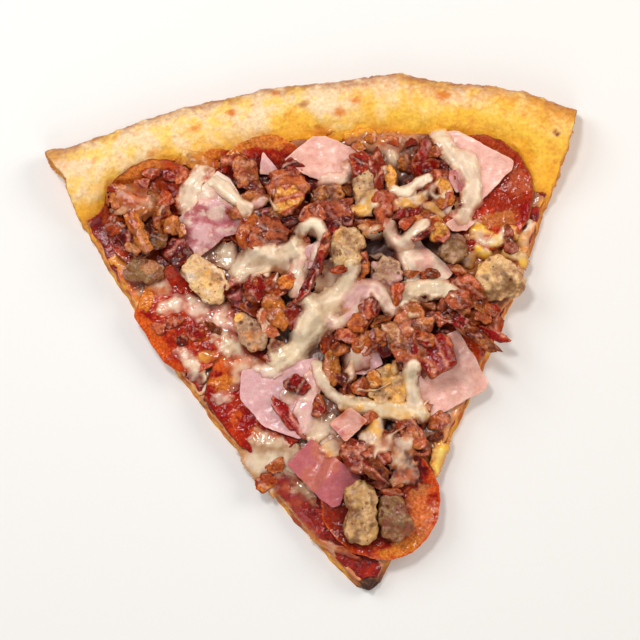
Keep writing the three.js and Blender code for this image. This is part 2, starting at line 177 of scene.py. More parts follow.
@dataclass
class Surface:
    """Points, triangles and named values of each point."""

    points: Array
    faces: Array
    values: dict[str, Array] = field(default_factory=dict)

    def welded(self, reach: float = 1e-3) -> "Surface":
        """Joins points that coincide and drops the triangles that collapse.

        Args:
            reach: How near two points have to be, in millimetres.

        Returns:
            The welded surface.
        """
        keys = np.round(self.points / reach).astype(np.int64)
        _, first, where = np.unique(keys, axis=0, return_index=True, return_inverse=True)
        faces = where.reshape(-1)[self.faces]
        whole = ((faces[:, 0] != faces[:, 1]) & (faces[:, 1] != faces[:, 2])
                 & (faces[:, 2] != faces[:, 0]))
        return Surface(self.points[first], faces[whole], {k: v[first] for k, v in self.values.items()})

    def normals(self) -> Array:
        """Unit normals of the points, as the sum of the normals of the triangles round each.

        Returns:
            One row of three per point.
        """
        a, b, c = (self.points[self.faces[:, n]] for n in range(3))
        flat = np.cross(b - a, c - a)
        total = np.zeros_like(self.points)
        for n in range(3):
            np.add.at(total, self.faces[:, n], flat)
        return total / np.maximum(np.linalg.norm(total, axis=1, keepdims=True), 1e-12)

    def pushed(self, amount: Array) -> "Surface":
        """Moves each point along its normal."""
        return Surface(self.points + self.normals() * amount[:, None], self.faces, self.values)

    def moved(self, turn: Array, shift: Array) -> "Surface":
        """Turns the points by a matrix and shifts them."""
        return Surface(self.points @ turn.T + shift, self.faces, self.values)

    def tinted(self, tint: Array) -> "Surface":
        """The same shape with nothing but its colours, clipped to what can be shown."""
        return Surface(self.points, self.faces, {"tint": np.clip(tint, 0, 1)})


def several(kind: type, *rows: tuple) -> tuple:
    """One thing of a kind for each row of its values."""
    return tuple(kind(*row) for row in rows)


def joined(surfaces: Sequence[Surface]) -> Surface:
    """Puts several surfaces, with the same named values, into one."""
    starts = np.cumsum([0] + [len(s.points) for s in surfaces[:-1]])
    return Surface(
        np.concatenate([s.points for s in surfaces]),
        np.concatenate([s.faces + start for s, start in zip(surfaces, starts)]),
        {k: np.concatenate([s.values[k] for s in surfaces]) for k in surfaces[0].values},
    )


def grid_surface(points: Array, wrap: bool = False, flip: bool = False, **values: Array) -> Surface:
    """A grid of points as triangles.

    Args:
        points: Shape (rows, columns, 3).
        wrap: Whether the last column joins the first.
        flip: Whether the faces turn over.
        values: Named grids of shape (rows, columns).

    Returns:
        The surface.
    """
    rows, columns = points.shape[:2]
    index = np.arange(rows * columns).reshape(rows, columns)
    if wrap:
        index = np.concatenate([index, index[:, :1]], axis=1)
    a, b = index[:-1, :-1], index[:-1, 1:]
    c, d = index[1:, 1:], index[1:, :-1]
    faces = np.concatenate([np.stack([a, b, c], -1).reshape(-1, 3), np.stack([a, c, d], -1).reshape(-1, 3)])
    if flip:
        faces = faces[:, ::-1]
    return Surface(points.reshape(-1, 3), faces, {k: v.reshape(-1) for k, v in values.items()})


def flat_base(ring: Array, **values: Array) -> Surface:
    """A flat face inside a ring of points, turned to face down.

    Args:
        ring: The border, one row of three for each point.
        values: Named values of the points.

    Returns:
        The surface.
    """
    faces = np.array(tessellate_polygon([[Vector(p) for p in ring.tolist()]]))
    a, b, c = (ring[faces[:, n]] for n in range(3))
    up = np.cross(b - a, c - a)[:, 2] > 0
    faces[up] = faces[up][:, ::-1]
    return Surface(ring, faces, values)


def ground(xy: Array, level: float = 0.0) -> Array:
    """Points at one level, one row of three each, from a grid or list of x and y."""
    return np.concatenate([xy, np.full_like(xy[..., :1], level)], -1).reshape(-1, 3)


def unit(steps: Array) -> Array:
    """Steps in the same directions, each of length one."""
    return steps / np.maximum(np.linalg.norm(steps, axis=-1, keepdims=True), 1e-9)


def circle(radii: Array, level: float) -> Array:
    """Points round the origin at one level, in evenly spaced directions."""
    angle = np.linspace(0, 2 * np.pi, len(radii), endpoint=False)
    return np.stack([np.cos(angle) * radii, np.sin(angle) * radii, np.full(len(radii), level)], -1)


def turn_matrix(turn: float, tilt: float = 0.0, roll: float = 0.0) -> Array:
    """Rotation by roll about X, then tilt about Y, then turn about Z, in degrees.

    Args:
        turn: Degrees about Z.
        tilt: Degrees about Y.
        roll: Degrees about X.

    Returns:
        The matrix, three by three.
    """
    a, b, c = (math.radians(v) for v in (turn, tilt, roll))
    about_z = np.array([[math.cos(a), -math.sin(a), 0], [math.sin(a), math.cos(a), 0], [0, 0, 1]])
    about_y = np.array([[math.cos(b), 0, math.sin(b)], [0, 1, 0], [-math.sin(b), 0, math.cos(b)]])
    about_x = np.array([[1, 0, 0], [0, math.cos(c), -math.sin(c)], [0, math.sin(c), math.cos(c)]])
    return about_z @ about_y @ about_x


def write_piece(name: str, surface: Surface, material: Material,
                replaces: Sequence[str] = ()) -> bpy.types.Object:
    """Writes a surface into a mesh that rides on the slice.

    Args:
        name: The piece's name.
        surface: Its shape, in millimetres.
        material: Its finish.
        replaces: The frame's nodes that it stands for.

    Returns:
        The new object.
    """
    mesh = bpy.data.meshes.new(name)
    mesh.vertices.add(len(surface.points))
    mesh.vertices.foreach_set("co", (surface.points * MM).astype(np.float32).ravel())
    mesh.loops.add(surface.faces.size)
    mesh.loops.foreach_set("vertex_index", surface.faces.astype(np.int32).ravel())
    mesh.polygons.add(len(surface.faces))
    mesh.polygons.foreach_set("loop_start", np.arange(0, surface.faces.size, 3, dtype=np.int32))
    mesh.update(calc_edges=True)
    mesh.validate()
    mesh.shade_smooth()
    for key, value in surface.values.items():
        if value.ndim == 2:
            layer = mesh.attributes.new(key, "FLOAT_COLOR", "POINT")
            full = np.concatenate([value, np.ones((len(value), 1))], 1)
            layer.data.foreach_set("color", full.astype(np.float32).ravel())
        else:
            layer = mesh.attributes.new(key, "FLOAT", "POINT")
            layer.data.foreach_set("value", value.astype(np.float32))
    mesh.materials.append(material)
    piece = bpy.data.objects.new(name, mesh)
    bpy.context.scene.collection.objects.link(piece)
    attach(piece, "root")
    if replaces:
        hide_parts(*replaces)
    log.info("%s: %d points, %d triangles", name, len(surface.points), len(surface.faces))
    return piece


# ------------------------------------------------------------------ the slice's outline

@dataclass(frozen=True)
class Outline:
    """The slice's plan: two cuts from the point, and the pie's outer edge."""

    tip: tuple[float, float] = (19.7, -88.4)
    left_cut: float = math.radians(126.8)
    right_cut: float = math.radians(66.4)
    pie_radius: float = 173.6
    corner_stretch: float = 11.0
    left_bow: float = 8.6
    right_bow: float = 5.0
    tip_rounding: float = 1.4
    tip_fade: float = 9.0
    dough: float = 5.5
    rim_height: float = 13.2
    rim_width: float = 18.5
    cut_slope: float = 1.7

    @property
    def sides(self) -> tuple[Array, Array]:
        """Unit steps straight out from the left and from the right cut."""
        turns = (self.left_cut + math.pi / 2, self.right_cut - math.pi / 2)
        return tuple(np.array([math.cos(turn), math.sin(turn)]) for turn in turns)

    def outer_radius(self, u: Array) -> Array:
        """Distance from the point to the outer edge; u is 0 at the left cut, 1 at the right.

        Args:
            u: Share of the way across.

        Returns:
            One distance per value.
        """
        v = 1 - u
        corners = 2.4 * bump(u, 0, 0.03) + 2.4 * bump(u, 1, 0.025)
        return (self.pie_radius + self.corner_stretch * v ** 4 + 5.4 * bump(v, 0.09, 0.13)
                + 3.2 * bump(v, 0.34, 0.09) + corners)

    def rim(self, u: Array) -> Array:
        """Width of the rim, wider at the cuts."""
        return self.rim_width + 7 * bump(u, 0, 0.08) + 11 * bump(u, 1, 0.09) + 1.6 * wave(19 * u, 2)

    def crest(self, u: Array) -> Array:
        """Height of the rim."""
        return self.rim_height + 1.1 * wave(15 * u, 0.6)

    def _bow(self, amount: float, power: float, distance: Array) -> Array:
        """How far a cut strays outside its straight line: a sine bow, a blunt point and a slight sway.

        Args:
            amount: The bow at its widest.
            power: How full the bow is.
            distance: Distance from the point.

        Returns:
            One offset per distance.
        """
        along = np.clip(distance / self.pie_radius, 0, 1)
        blunt = self.tip_rounding * np.exp(-distance / self.tip_fade)
        sway = 0.5 * wave(0.3 * distance + amount, 1.3) * fade(4, 20, distance)
        return amount * np.sin(np.pi * along) ** power + blunt + sway

    def outward(self, distance: Array) -> tuple[Array, Array]:
        """How far the left and the right cut stray outside their straight lines."""
        return self._bow(self.left_bow, 0.55, distance), self._bow(self.right_bow, 0.7, distance)

    def place(self, u: Array, distance: Array, inset: Array) -> Array:
        """Plan position: a ray at share u between the cuts, shifted by each cut's bow less an inset.

        Args:
            u: Share of the way across.
            distance: Distance from the point.
            inset: How far both cuts are moved in.

        Returns:
            The grid of x and y.
        """
        angle = self.left_cut + (self.right_cut - self.left_cut) * u
        stray = self.outward(distance)
        left, right = (1 - u) * (stray[0] - inset), u * (stray[1] - inset)
        rays = (np.cos(angle), np.sin(angle))
        return np.stack([self.tip[n] + distance * rays[n] + left * self.sides[0][n] + right * self.sides[1][n]
                         for n in (0, 1)], -1)

    def past_cuts(self, xy: Array) -> Array:
        """How far each place lies inside the nearer cut, in millimetres; negative is outside.

        Args:
            xy: Places, the last axis of length two.

        Returns:
            One distance per place.
        """
        away = xy - np.array(self.tip)
        stray = self.outward(np.linalg.norm(away, axis=-1))
        return np.minimum(stray[0] - away @ self.sides[0], stray[1] - away @ self.sides[1])


OUTLINE = Outline()


# ------------------------------------------------------------------ the height map

@dataclass
class Stack:
    """The height of everything laid so far, on a square grid of cells."""

    cell: float = 0.5
    half: float = 104.0
    outside: float = 6.0
    around: Colour = (0.62, 0.27, 0.055)
    heights: Array = field(init=False)
    tints: Array = field(init=False)

    def __post_init__(self) -> None:
        """Starts with nothing but the height at which an overhanging piece hangs."""
        side = int(2 * self.half / self.cell)
        self.heights = np.full((side, side), self.outside)
        self.tints = np.full((side, side, 3), self.around)

    def _cells(self, x: Array, y: Array) -> tuple[Array, Array]:
        """The row and the column of the map's cell at each place."""
        last = len(self.heights) - 1
        return tuple(np.clip(((v + self.half) / self.cell).astype(int), 0, last) for v in (y, x))

    def lay(self, surface: Surface, plain: Colour = (0.0, 0.0, 0.0)) -> None:
        """Raises the map to a surface and keeps the colour that shows.

        Args:
            surface: What is laid, read at its corners, its edges' middles and its centres.
            plain: Its colour, where it has no tint of its own.
        """
        tint = surface.values.get("tint", np.tile(np.array(plain), (len(surface.points), 1)))
        both = np.concatenate([surface.points, tint], 1)
        corners = both[surface.faces]
        middle = corners.mean(1)
        samples = [both, middle] + [0.5 * (corners[:, n] + corners[:, n - 1]) for n in range(3)]
        samples += [0.5 * (corners[:, n] + middle) for n in range(3)]
        every = np.concatenate(samples)
        row, column = self._cells(every[:, 0], every[:, 1])
        np.maximum.at(self.heights, (row, column), every[:, 2])
        top = every[:, 2] >= self.heights[row, column] - 1e-6
        self.tints[row[top], column[top]] = every[top, 3:]

    def colour(self, x: Array, y: Array) -> Array:
        """The colour that shows at each place."""
        return self.tints[self._cells(x, y)]

    def soft_colour(self, x: Array, y: Array) -> Array:
        """The colour that shows, averaged over five places 0.7 mm apart."""
        around = ((0.0, 0.0), (0.7, 0.0), (-0.7, 0.0), (0.0, 0.7), (0.0, -0.7))
        return sum(self.colour(x + dx, y + dy) for dx, dy in around) / len(around)

    def rest(self, x: Array, y: Array, reach: float, soften: float) -> Array:
        """The height at which something soft rests: the highest within reach, then averaged.

        Args:
            x: Places along X.
            y: Places along Y.
            reach: How far a stiff piece feels what stands beside it.
            soften: How far heights are averaged.

        Returns:
            Heights of the same shape as x.
        """
        margin = int((reach + 2 * soften) / self.cell) + 3
        column, row = (x + self.half) / self.cell - 0.5, (y + self.half) / self.cell - 0.5
        r0, c0 = max(int(row.min()) - margin, 0), max(int(column.min()) - margin, 0)
        local = self.heights[r0:int(row.max()) + margin + 2, c0:int(column.max()) + margin + 2].copy()
        steps = int(round(reach / self.cell))
        for axis in (0, 1):
            local = np.max([np.roll(local, step, axis) for step in range(-steps, steps + 1)], axis=0)
        if soften > 0:
            taps = int(2 * soften / self.cell) + 1
            weights = bell(taps, soften / self.cell)
            for axis in (0, 1):
                local = sum(w * np.roll(local, n - taps, axis) for n, w in enumerate(weights))
        row = np.clip(row - r0, 0, local.shape[0] - 1.001)
        column = np.clip(column - c0, 0, local.shape[1] - 1.001)
        ri, ci = row.astype(int), column.astype(int)
        rf, cf = row - ri, column - ci
        return ((1 - rf) * ((1 - cf) * local[ri, ci] + cf * local[ri, ci + 1])
                + rf * ((1 - cf) * local[ri + 1, ci] + cf * local[ri + 1, ci + 1]))


# ------------------------------------------------------------------ writing materials

def srgb(red: int, green: int, blue: int) -> Colour:
    """A colour given in screen values from 0 to 255, as light."""
    share = [v / 255 for v in (red, green, blue)]
    return tuple(v / 12.92 if v <= 0.04045 else ((v + 0.055) / 1.055) ** 2.4 for v in share)


class Finish:
    """Writes one node material: its patterns read object coordinates and the pieces' own values."""

    def __init__(self, name: str) -> None:
        """Starts an empty material with its shader.

        Args:
            name: The material's name.
        """
        self.material = bpy.data.materials.new(name)
        self.material.use_nodes = True
        self.nodes = self.material.node_tree.nodes
        self.links = self.material.node_tree.links
        self.shader = self.nodes["Principled BSDF"]
        self.place = self.nodes.new("ShaderNodeTexCoord").outputs["Object"]

    def _feed(self, socket: Socket, value: object) -> None:
        """Links a socket to another, or sets its own value.

        Args:
            socket: The input.
            value: A socket to link, a colour, a vector or a number.
        """
        if isinstance(value, Socket):
            self.links.new(value, socket)
        elif isinstance(value, tuple) and socket.type == "RGBA":
            socket.default_value = (*value, 1.0)
        else:
            socket.default_value = value

    def _node(self, kind: str, *settings: tuple[str, str], **inputs: object) -> bpy.types.Node:
        """Adds a node.

        Args:
            kind: The node's type, less its usual prefix.
            settings: Names and values of its options.
            inputs: What its inputs are fed, with underscores in their names; in_6 is the input 6.

        Returns:
            The node.
        """
        node = self.nodes.new(f"ShaderNode{kind}")
        for key, value in settings:
            setattr(node, key, value)
        for key, value in inputs.items():
            self._feed(node.inputs[int(key[3:]) if key.startswith("in_") else key.replace("_", " ")], value)
        return node

    def value(self, name: str) -> Socket:
        """A named value of the piece's points."""
        return self._node("Attribute", ("attribute_name", name)).outputs["Fac"]

    def colour(self, name: str) -> Socket:
        """A named colour of the piece's points."""
        return self._node("Attribute", ("attribute_name", name)).outputs["Color"]

    def noise(self, size: float, detail: float = 3.0, rough: float = 0.55) -> Socket:
        """Noise between 0 and 1.

        Args:
            size: How broad its lumps are, in millimetres.
            detail: How many finer noises are added.
            rough: How strong they are.

        Returns:
            The value.
        """
        place = self._node("Mapping", Location=(0.01 * size, 0.02 * size, 0.03 * size), Vector=self.place)
        return self._node("TexNoise", Vector=place.outputs["Vector"], Scale=1000 / size, Detail=detail,
                          Roughness=rough).outputs["Fac"]

    def dots(self, size: float) -> Socket:
        """Distance to the nearest of scattered dots, size millimetres apart."""
        return self._node("TexVoronoi", Vector=self.place, Scale=1000 / size).outputs["Distance"]

    def ramp(self, value: Socket, low: float, high: float, start: float = 0.0, end: float = 1.0) -> Socket:
        """Carries low..high over to start..end, smoothly and clamped.

        Args:
            value: What is carried over.
            low: Where it starts.
            high: Where it ends.
            start: The result up to low.
            end: The result from high on.

        Returns:
            The value.
        """
        return self._node("MapRange", ("interpolation_type", "SMOOTHSTEP"), Value=value, From_Min=low,
                          From_Max=high, To_Min=start, To_Max=end).outputs["Result"]

    def pair(self, kind: str, a: Socket, b: Socket) -> Socket:
        """Arithmetic of one kind on two values."""
        return self._node("Math", ("operation", kind), in_0=a, in_1=b).outputs[0]

    def blend(self, factor: object, a: object, b: object, kind: str = "MIX") -> Socket:
        """Mixes two colours by a factor."""
        return self._node("Mix", ("data_type", "RGBA"), ("blend_type", kind), Factor=factor, in_6=a,
                          in_7=b).outputs[2]

    def stained(self, value: Socket, dark: Colour, light: Colour) -> Socket:
        """The piece's own colour, multiplied by a shade between a dark and a light one."""
        tint = self.colour("tint")
        return self.blend(1.0, tint, self.blend(value, dark, light), "MULTIPLY")

    def relief(self, height: Socket, strength: float, depth: float, under: Optional[Socket] = None) -> Socket:
        """A bump.

        Args:
            height: The value that stands out.
            strength: How strong it is.
            depth: How deep it is, in millimetres.
            under: A broader bump that it is added to.

        Returns:
            The normal.
        """
        below = {} if under is None else {"Normal": under}
        return self._node("Bump", Strength=strength, Distance=depth * MM, Height=height,
                          **below).outputs["Normal"]

    def done(self, **sockets: object) -> Material:
        """Feeds the shader's sockets, named with underscores, and returns the material."""
        for key, value in sockets.items():
            self._feed(self.shader.inputs[key.replace("_", " ")], value)
        return self.material


# ------------------------------------------------------------------ finishes

@dataclass(frozen=True)
class DoughFinish:
    """Baked dough: the piece's own browning with a floury grain, freckles and a sheen of oil."""

    freckle: Colour = srgb(222, 132, 50)

    def make(self) -> Material:
        """Makes it; it reads the colour tint and the oil from the piece.

        Returns:
            The material.
        """
        f = Finish("baked_dough")
        grain = f.ramp(f.noise(1.2, 4, 0.65), 0.3, 0.7)
        base = f.stained(grain, (0.84, 0.76, 0.66), (1.05, 1.05, 1.05))
        base = f.blend(f.ramp(f.noise(2.1, 3, 0.6), 0.6, 0.76, 0.0, 0.45), base, self.freckle)
        bumps = f.relief(f.noise(0.8, 4, 0.65), 0.55, 0.3)
        bumps = f.relief(f.noise(3.0, 4, 0.6), 0.4, 0.6, bumps)
        return f.done(Base_Color=base, Roughness=f.ramp(f.value("oil"), 0.2, 0.9, 0.7, 0.36), Normal=bumps,
                      Specular_IOR_Level=0.35, Subsurface_Weight=0.2, Subsurface_Radius=(0.9, 0.45, 0.2),
                      Subsurface_Scale=0.003)


@dataclass(frozen=True)
class SauceFinish:
    """Tomato sauce: dark wet red with pulp."""

    dark: Colour = srgb(112, 8, 6)
    light: Colour = srgb(176, 38, 14)

    def make(self) -> Material:
        """Makes it.

        Returns:
            The material.
        """
        f = Finish("tomato_sauce")
        colour = f.blend(f.ramp(f.noise(3.0, 4), 0.35, 0.7), self.dark, self.light)
        bumps = f.relief(f.noise(1.2, 3), 0.6, 0.4)
        return f.done(Base_Color=colour, Roughness=0.2, Normal=bumps, Specular_IOR_Level=0.4,
                      Subsurface_Weight=0.15, Subsurface_Radius=(1.0, 0.15, 0.08),
                      Subsurface_Scale=0.002)


@dataclass(frozen=True)
class MeatFinish:
    """Fried or cured meat: the piece's own colours, grained, with pale flecks and a wet shine."""

    name: str
    grain: float = 1.1
    contrast: float = 0.35
    gloss: tuple[float, float] = (0.08, 0.28)
    shine: float = 0.5
    flesh: float = 0.14
    depth: float = 0.35
    bumpy: float = 0.45
    warm: float = 0.0
    flecks: float = 0.0
    pepper: float = 0.0
    fat: Colour = srgb(236, 178, 146)
    peppercorn: Colour = srgb(60, 34, 18)
    herb: Colour = srgb(92, 86, 30)

    def make(self) -> Material:
        """Makes it; it reads the colour tint from the piece, and dark gaps are dull.

        Returns:
            The material.
        """
        f = Finish(self.name)
        grain = f.noise(self.grain, 4, 0.65)
        low, high = 1 - self.contrast, 1 + 0.6 * self.contrast
        green, blue = 1 - 0.5 * self.warm, 1 - self.warm
        dark, light = (low, green * low * low, blue * low * low), (high, green * high, blue * high)
        base = f.stained(f.ramp(grain, 0.32, 0.68), dark, light)
        if self.flecks > 0:
            dots = f.ramp(f.dots(1.4), 0.14, 0.34, self.flecks, 0.0)
            dots = f.pair("MULTIPLY", dots, f.ramp(f.noise(3.2, 2), 0.45, 0.6))
            base = f.blend(dots, base, self.fat)
        if self.pepper > 0:
            base = f.blend(f.ramp(f.dots(2.8), 0.08, 0.15, self.pepper, 0.0), base, self.peppercorn)
            base = f.blend(f.ramp(f.dots(4.7), 0.06, 0.11, self.pepper, 0.0), base, self.herb)
        bumps = f.relief(f.noise(1.1, 2, 0.5), self.bumpy, self.depth)
        dull = f.ramp(f.value("tint"), 0.0, 0.05, 0.55, 0.0)
        rough = f.pair("MAXIMUM", f.ramp(grain, 0.3, 0.7, *self.gloss), dull)
        return f.done(Base_Color=base, Roughness=rough, Normal=bumps, Specular_IOR_Level=self.shine,
                      Subsurface_Weight=self.flesh, Subsurface_Radius=(1.0, 0.3, 0.15),
                      Subsurface_Scale=0.002)


@dataclass(frozen=True)
class MeltedFinish:
    """Melted cheese: smooth, wet with oil, and lit from within."""

    name: str = "cheese_melt"
    mottle: float = 2.2
    depth: float = 0.35
    rough: float = 0.12

    def make(self) -> Material:
        """Makes it; it reads the colour tint from the piece, and dark gaps are dull.

        Returns:
            The material.
        """
        f = Finish(self.name)
        mottled = f.ramp(f.noise(self.mottle, 4, 0.6), 0.3, 0.7)
        base = f.stained(mottled, (0.96, 0.92, 0.87), (1.1, 1.09, 1.07))
        bumps = f.relief(f.noise(2.0, 2), 0.25, self.depth)
        dull = f.ramp(f.value("tint"), 0.02, 0.2, 0.5, self.rough)
        return f.done(Base_Color=base, Roughness=dull, Normal=bumps, Specular_IOR_Level=0.5,
                      Subsurface_Weight=0.5, Subsurface_Radius=(1.0, 0.85, 0.65), Subsurface_Scale=0.0014)


# ------------------------------------------------------------------ colours

class Tint(Enum):
    """Colours of baked, fried and melted things."""

    FLOUR = srgb(250, 220, 178)
    BUTTER = srgb(255, 214, 120)
    GOLDEN = srgb(255, 202, 66)
    HONEY = srgb(255, 176, 34)
    TOAST = srgb(226, 136, 52)
    CRISP = srgb(168, 92, 44)
    CRIMSON = srgb(146, 16, 13)
    MAROON = srgb(88, 6, 5)
    BLACK = srgb(38, 12, 8)
    PAPRIKA = srgb(190, 54, 14)
    BRICK = srgb(146, 42, 16)
    ROSE = srgb(200, 112, 74)
    TAN = srgb(200, 130, 66)
    APRICOT = srgb(232, 150, 84)
    AMBER = srgb(214, 134, 50)
    RUST = srgb(180, 76, 28)
    ORANGE = srgb(216, 100, 32)
    GOLD = srgb(232, 174, 78)
    CREAM = srgb(234, 209, 184)
    IVORY = srgb(224, 203, 172)
    SAND = srgb(218, 180, 122)
    OLIVE = srgb(132, 92, 42)
    KHAKI = srgb(190, 148, 86)
    GREY = srgb(176, 138, 102)
    LILAC = srgb(220, 172, 170)
    PINK = srgb(234, 180, 162)
    BLUSH = srgb(246, 198, 182)
    MAUVE = srgb(188, 100, 104)
    BROWN = srgb(124, 58, 22)


T = Tint


def mixed(a: Array | Tint, b: Array | Tint, share: Array) -> Array:
    """Mixes two tints or sets of colours, point by point."""
    a, b = (np.array(side.value) if isinstance(side, Tint) else side for side in (a, b))
    return a + (b - a) * np.clip(share, 0, 1)[:, None]


def coated(base: Array, *coats: tuple[Array | Tint, Array]) -> Array:
    """Lays coats of colour over a base, one after another, each by its own share.

    Args:
        base: The colours of some points.
        coats: For each coat its colour, and how much of it each point takes.

    Returns:
        The new colours.
    """
    for tint, share in coats:
        base = mixed(base, tint, share)
    return base


def oval(points: Array, x: float, y: float, length: float, width: float, turn: float) -> Array:
    """Distance from an oval's middle, in units of its half length and half width.

    Args:
        points: Places, one row each.
        x: The middle along X.
        y: The middle along Y.
        length: The oval's length.
        width: Its width.
        turn: Its turn in degrees.

    Returns:
        One value per place, 1 on the oval's border.
    """
    c, s = math.cos(math.radians(turn)), math.sin(math.radians(turn))
    dx, dy = points[:, 0] - x, points[:, 1] - y
    return np.hypot((dx * c + dy * s) / (0.5 * length), (dy * c - dx * s) / (0.5 * width))


@dataclass(frozen=True)
class Dab:
    """An oval patch of colour: its middle, size and turn."""

    x: float
    y: float
    length: float
    width: float
    turn: float
    tint: Tint
    strength: float = 1.0


def painted(points: Array, base: Array, dabs: Iterable[Dab], rough: float = 0.5, seed: int = 0,
            soft: float = 0.2) -> Array:
    """Colours points with oval patches, whose borders noise makes ragged.

    Args:
        points: Places.
        base: Their colours.
        dabs: The patches.
        rough: How ragged the borders are.
        seed: Picks the noise.
        soft: How wide the borders are.

    Returns:
        The new colours.
    """
    ragged = rough * (Noise(seed).layered(points, 4, 4) + 0.4 * Noise(seed + 1).smooth(points, 0.9))
    for dab in dabs:
        away = oval(points, dab.x, dab.y, dab.length, dab.width, dab.turn)
        base = mixed(base, dab.tint, dab.strength * fade(1 + soft, 1 - soft, away + ragged))
    return base


# ------------------------------------------------------------------ crust, sauce, cheese

@dataclass
class Crust:
    """The dough: thin floor, puffed rim, and two cut faces that show the crumb."""

    columns: int = 310
    floor_rows: int = 170
    rim_rows: int = 80
    wrap_rows: int = 18
    face_rows: int = 16
    shoulder: float = 0.55
    crest: float = 0.3
    run: float = 5.0
    ease: float = 0.4
    burns: tuple[Dab, ...] = several(
        Dab,
        (-3.4, 76.6, 3.4, 2.4, 10, T.CRISP, 0.8), (9, 74, 4, 2.6, 0, T.TOAST),
        (14, 78, 3, 2, 0, T.TOAST), (-40, 69, 4, 2.4, 20, T.TOAST, 0.8),
        (-69, 48, 2.6, 5, 0, T.TOAST), (3, 68, 6, 3, 10, T.TOAST, 0.8),
        (45, 80, 5, 3, -10, T.TOAST), (83.4, 66.4, 1.8, 1.1, 30, T.BROWN),
        (82.4, 67.4, 2, 1, 60, T.CRISP), (-28, 74, 3, 2, 0, T.TOAST),
        (-55, 60, 3.4, 2, 20, T.TOAST, 0.7), (-13, 81, 3, 2, 0, T.TOAST),
        (31, 67, 5, 2, 0, T.TOAST, 0.7),
    )

    def height(self, u: Array, q: Array) -> Array:
        """Height of the dough's top, where q is 0 at the outer shoulder and 1 at the rim's inner foot.

        It rises as a quarter sine to the crest, rounds over, and falls in an even slope to the foot.

        Args:
            u: Share of the way across.
            q: Share of the way in.

        Returns:
            The height in millimetres.
        """
        outer = self.shoulder + (1 - self.shoulder) * np.sin(0.5 * np.pi * np.clip(q / self.crest, 0, 1))
        t = np.clip((q - self.crest) / (1 - self.crest), 0, 1)
        fall = np.where(t < self.ease, t * t / (2 * self.ease), t - 0.5 * self.ease)
        rise = np.where(q < self.crest, outer, 1 - fall / (1 - 0.5 * self.ease))
        return OUTLINE.dough + (OUTLINE.crest(u) - OUTLINE.dough) * np.where(q < 1, rise, 0)

    def profile(self, u: Array) -> tuple[Array, Array, Array]:
        """The section of the dough along one ray.

        Rows run from the point over the floor and the rim, and round the outer edge to the base.

        Args:
            u: Share of the way across, one value per column.

        Returns:
            Distances, heights and the share q, each of shape (rows, columns).
        """
        edge = OUTLINE.outer_radius(u)
        foot = edge - OUTLINE.rim(u) - self.run
        floor = np.linspace(0, 1, self.floor_rows, endpoint=False)[:, None]
        over = np.linspace(0, 1, self.rim_rows, endpoint=False)[:, None]
        wrap = np.linspace(0, 1, self.wrap_rows)[:, None]
        start = 1.5 + 2.6 * (2 * u - 1) ** 2
        on_floor = start + (foot - start) * floor
        on_rim = foot + (edge - 1.3 - foot) * over
        q_rim = np.broadcast_to(1 - over, on_rim.shape)
        tall = 1 - wrap
        tuck = np.where(tall > 0.5, 1.3 * ((tall - 0.5) / 0.5) ** 2,
                        3.2 * (np.maximum(0.5 - tall, 0) / 0.5) ** 2.6)
        on_wrap = edge - tuck
        distance = np.concatenate([on_floor, on_rim, on_wrap])
        height = np.concatenate([np.full_like(on_floor, OUTLINE.dough), self.height(u[None, :], q_rim),
                                 self.height(u, np.zeros_like(u)) * tall])
        share = np.concatenate([np.ones_like(on_floor), q_rim, -np.broadcast_to(wrap, on_wrap.shape)])
        return distance, height, share

    def inset(self, height: Array, distance: Array) -> Array:
        """How far a cut leans in at a height: the base is the widest, and the rim's cut is steeper."""
        steep = 1 - 0.7 * fade(135, 160, distance)
        return OUTLINE.cut_slope * steep * np.clip(height / OUTLINE.dough, 0, 1) ** 0.8

    def surface(self) -> Surface:
        """The whole closed dough, welded: its skin, two cut faces, the blunt point and the base.

        Returns:
            The dough, with u, q, and cut, which is 1 on the cut faces and 0 on the skin.
        """
        u = np.linspace(0, 1, self.columns)
        distance, height, share = self.profile(u)
        xy = OUTLINE.place(u[None, :], distance, self.inset(height, distance))
        skin = np.concatenate([xy, height[..., None]], -1)
        across = np.broadcast_to(u[None, :], distance.shape)
        parts = [grid_surface(skin, flip=True, u=across, q=share, cut=np.zeros_like(share))]
        last = distance[-1]
        down = np.linspace(1, 0, self.face_rows)
        walls = []
        for column in (0, -1):
            top_d, top_z = distance[:, column][:, None], height[:, column][:, None]
            base_d = np.minimum(top_d, last[column] - 6 + 6 * fade(0, 1, (top_d - last[column] + 6) / 9))
            base_d[-1] = last[column]
            d, z = base_d + (top_d - base_d) * down, top_z * down
            side = OUTLINE.place(np.full_like(d, u[column]), d, self.inset(z, d))
            walls.append(np.concatenate([side, z[..., None]], -1))
            parts.append(grid_surface(walls[-1], flip=column == -1, u=np.full_like(d, u[column]),
                                      q=np.broadcast_to(share[:, column][:, None], d.shape),
                                      cut=np.broadcast_to(1 - down ** 8, d.shape)))
        z = height[0][None, :] * down[:, None]
        start = np.broadcast_to(distance[0], z.shape)
        tip = np.concatenate([OUTLINE.place(np.broadcast_to(u, z.shape), start, self.inset(z, start)),
                              z[..., None]], -1)
        parts.append(grid_surface(tip, u=np.broadcast_to(u, z.shape), q=np.ones_like(z), cut=np.ones_like(z)))
        ring = np.concatenate([walls[0][:, -1], skin[-1, 1:-1], walls[1][::-1, -1], tip[-1, 1:-1][::-1]])
        ring = ring[np.concatenate([[True], np.linalg.norm(np.diff(ring, axis=0), axis=1) > 1e-3])]
        count = len(ring)
        parts.append(flat_base(ring, u=np.full(count, 0.5), q=np.full(count, UNDERSIDE), cut=np.zeros(count)))
        return joined(parts).welded()

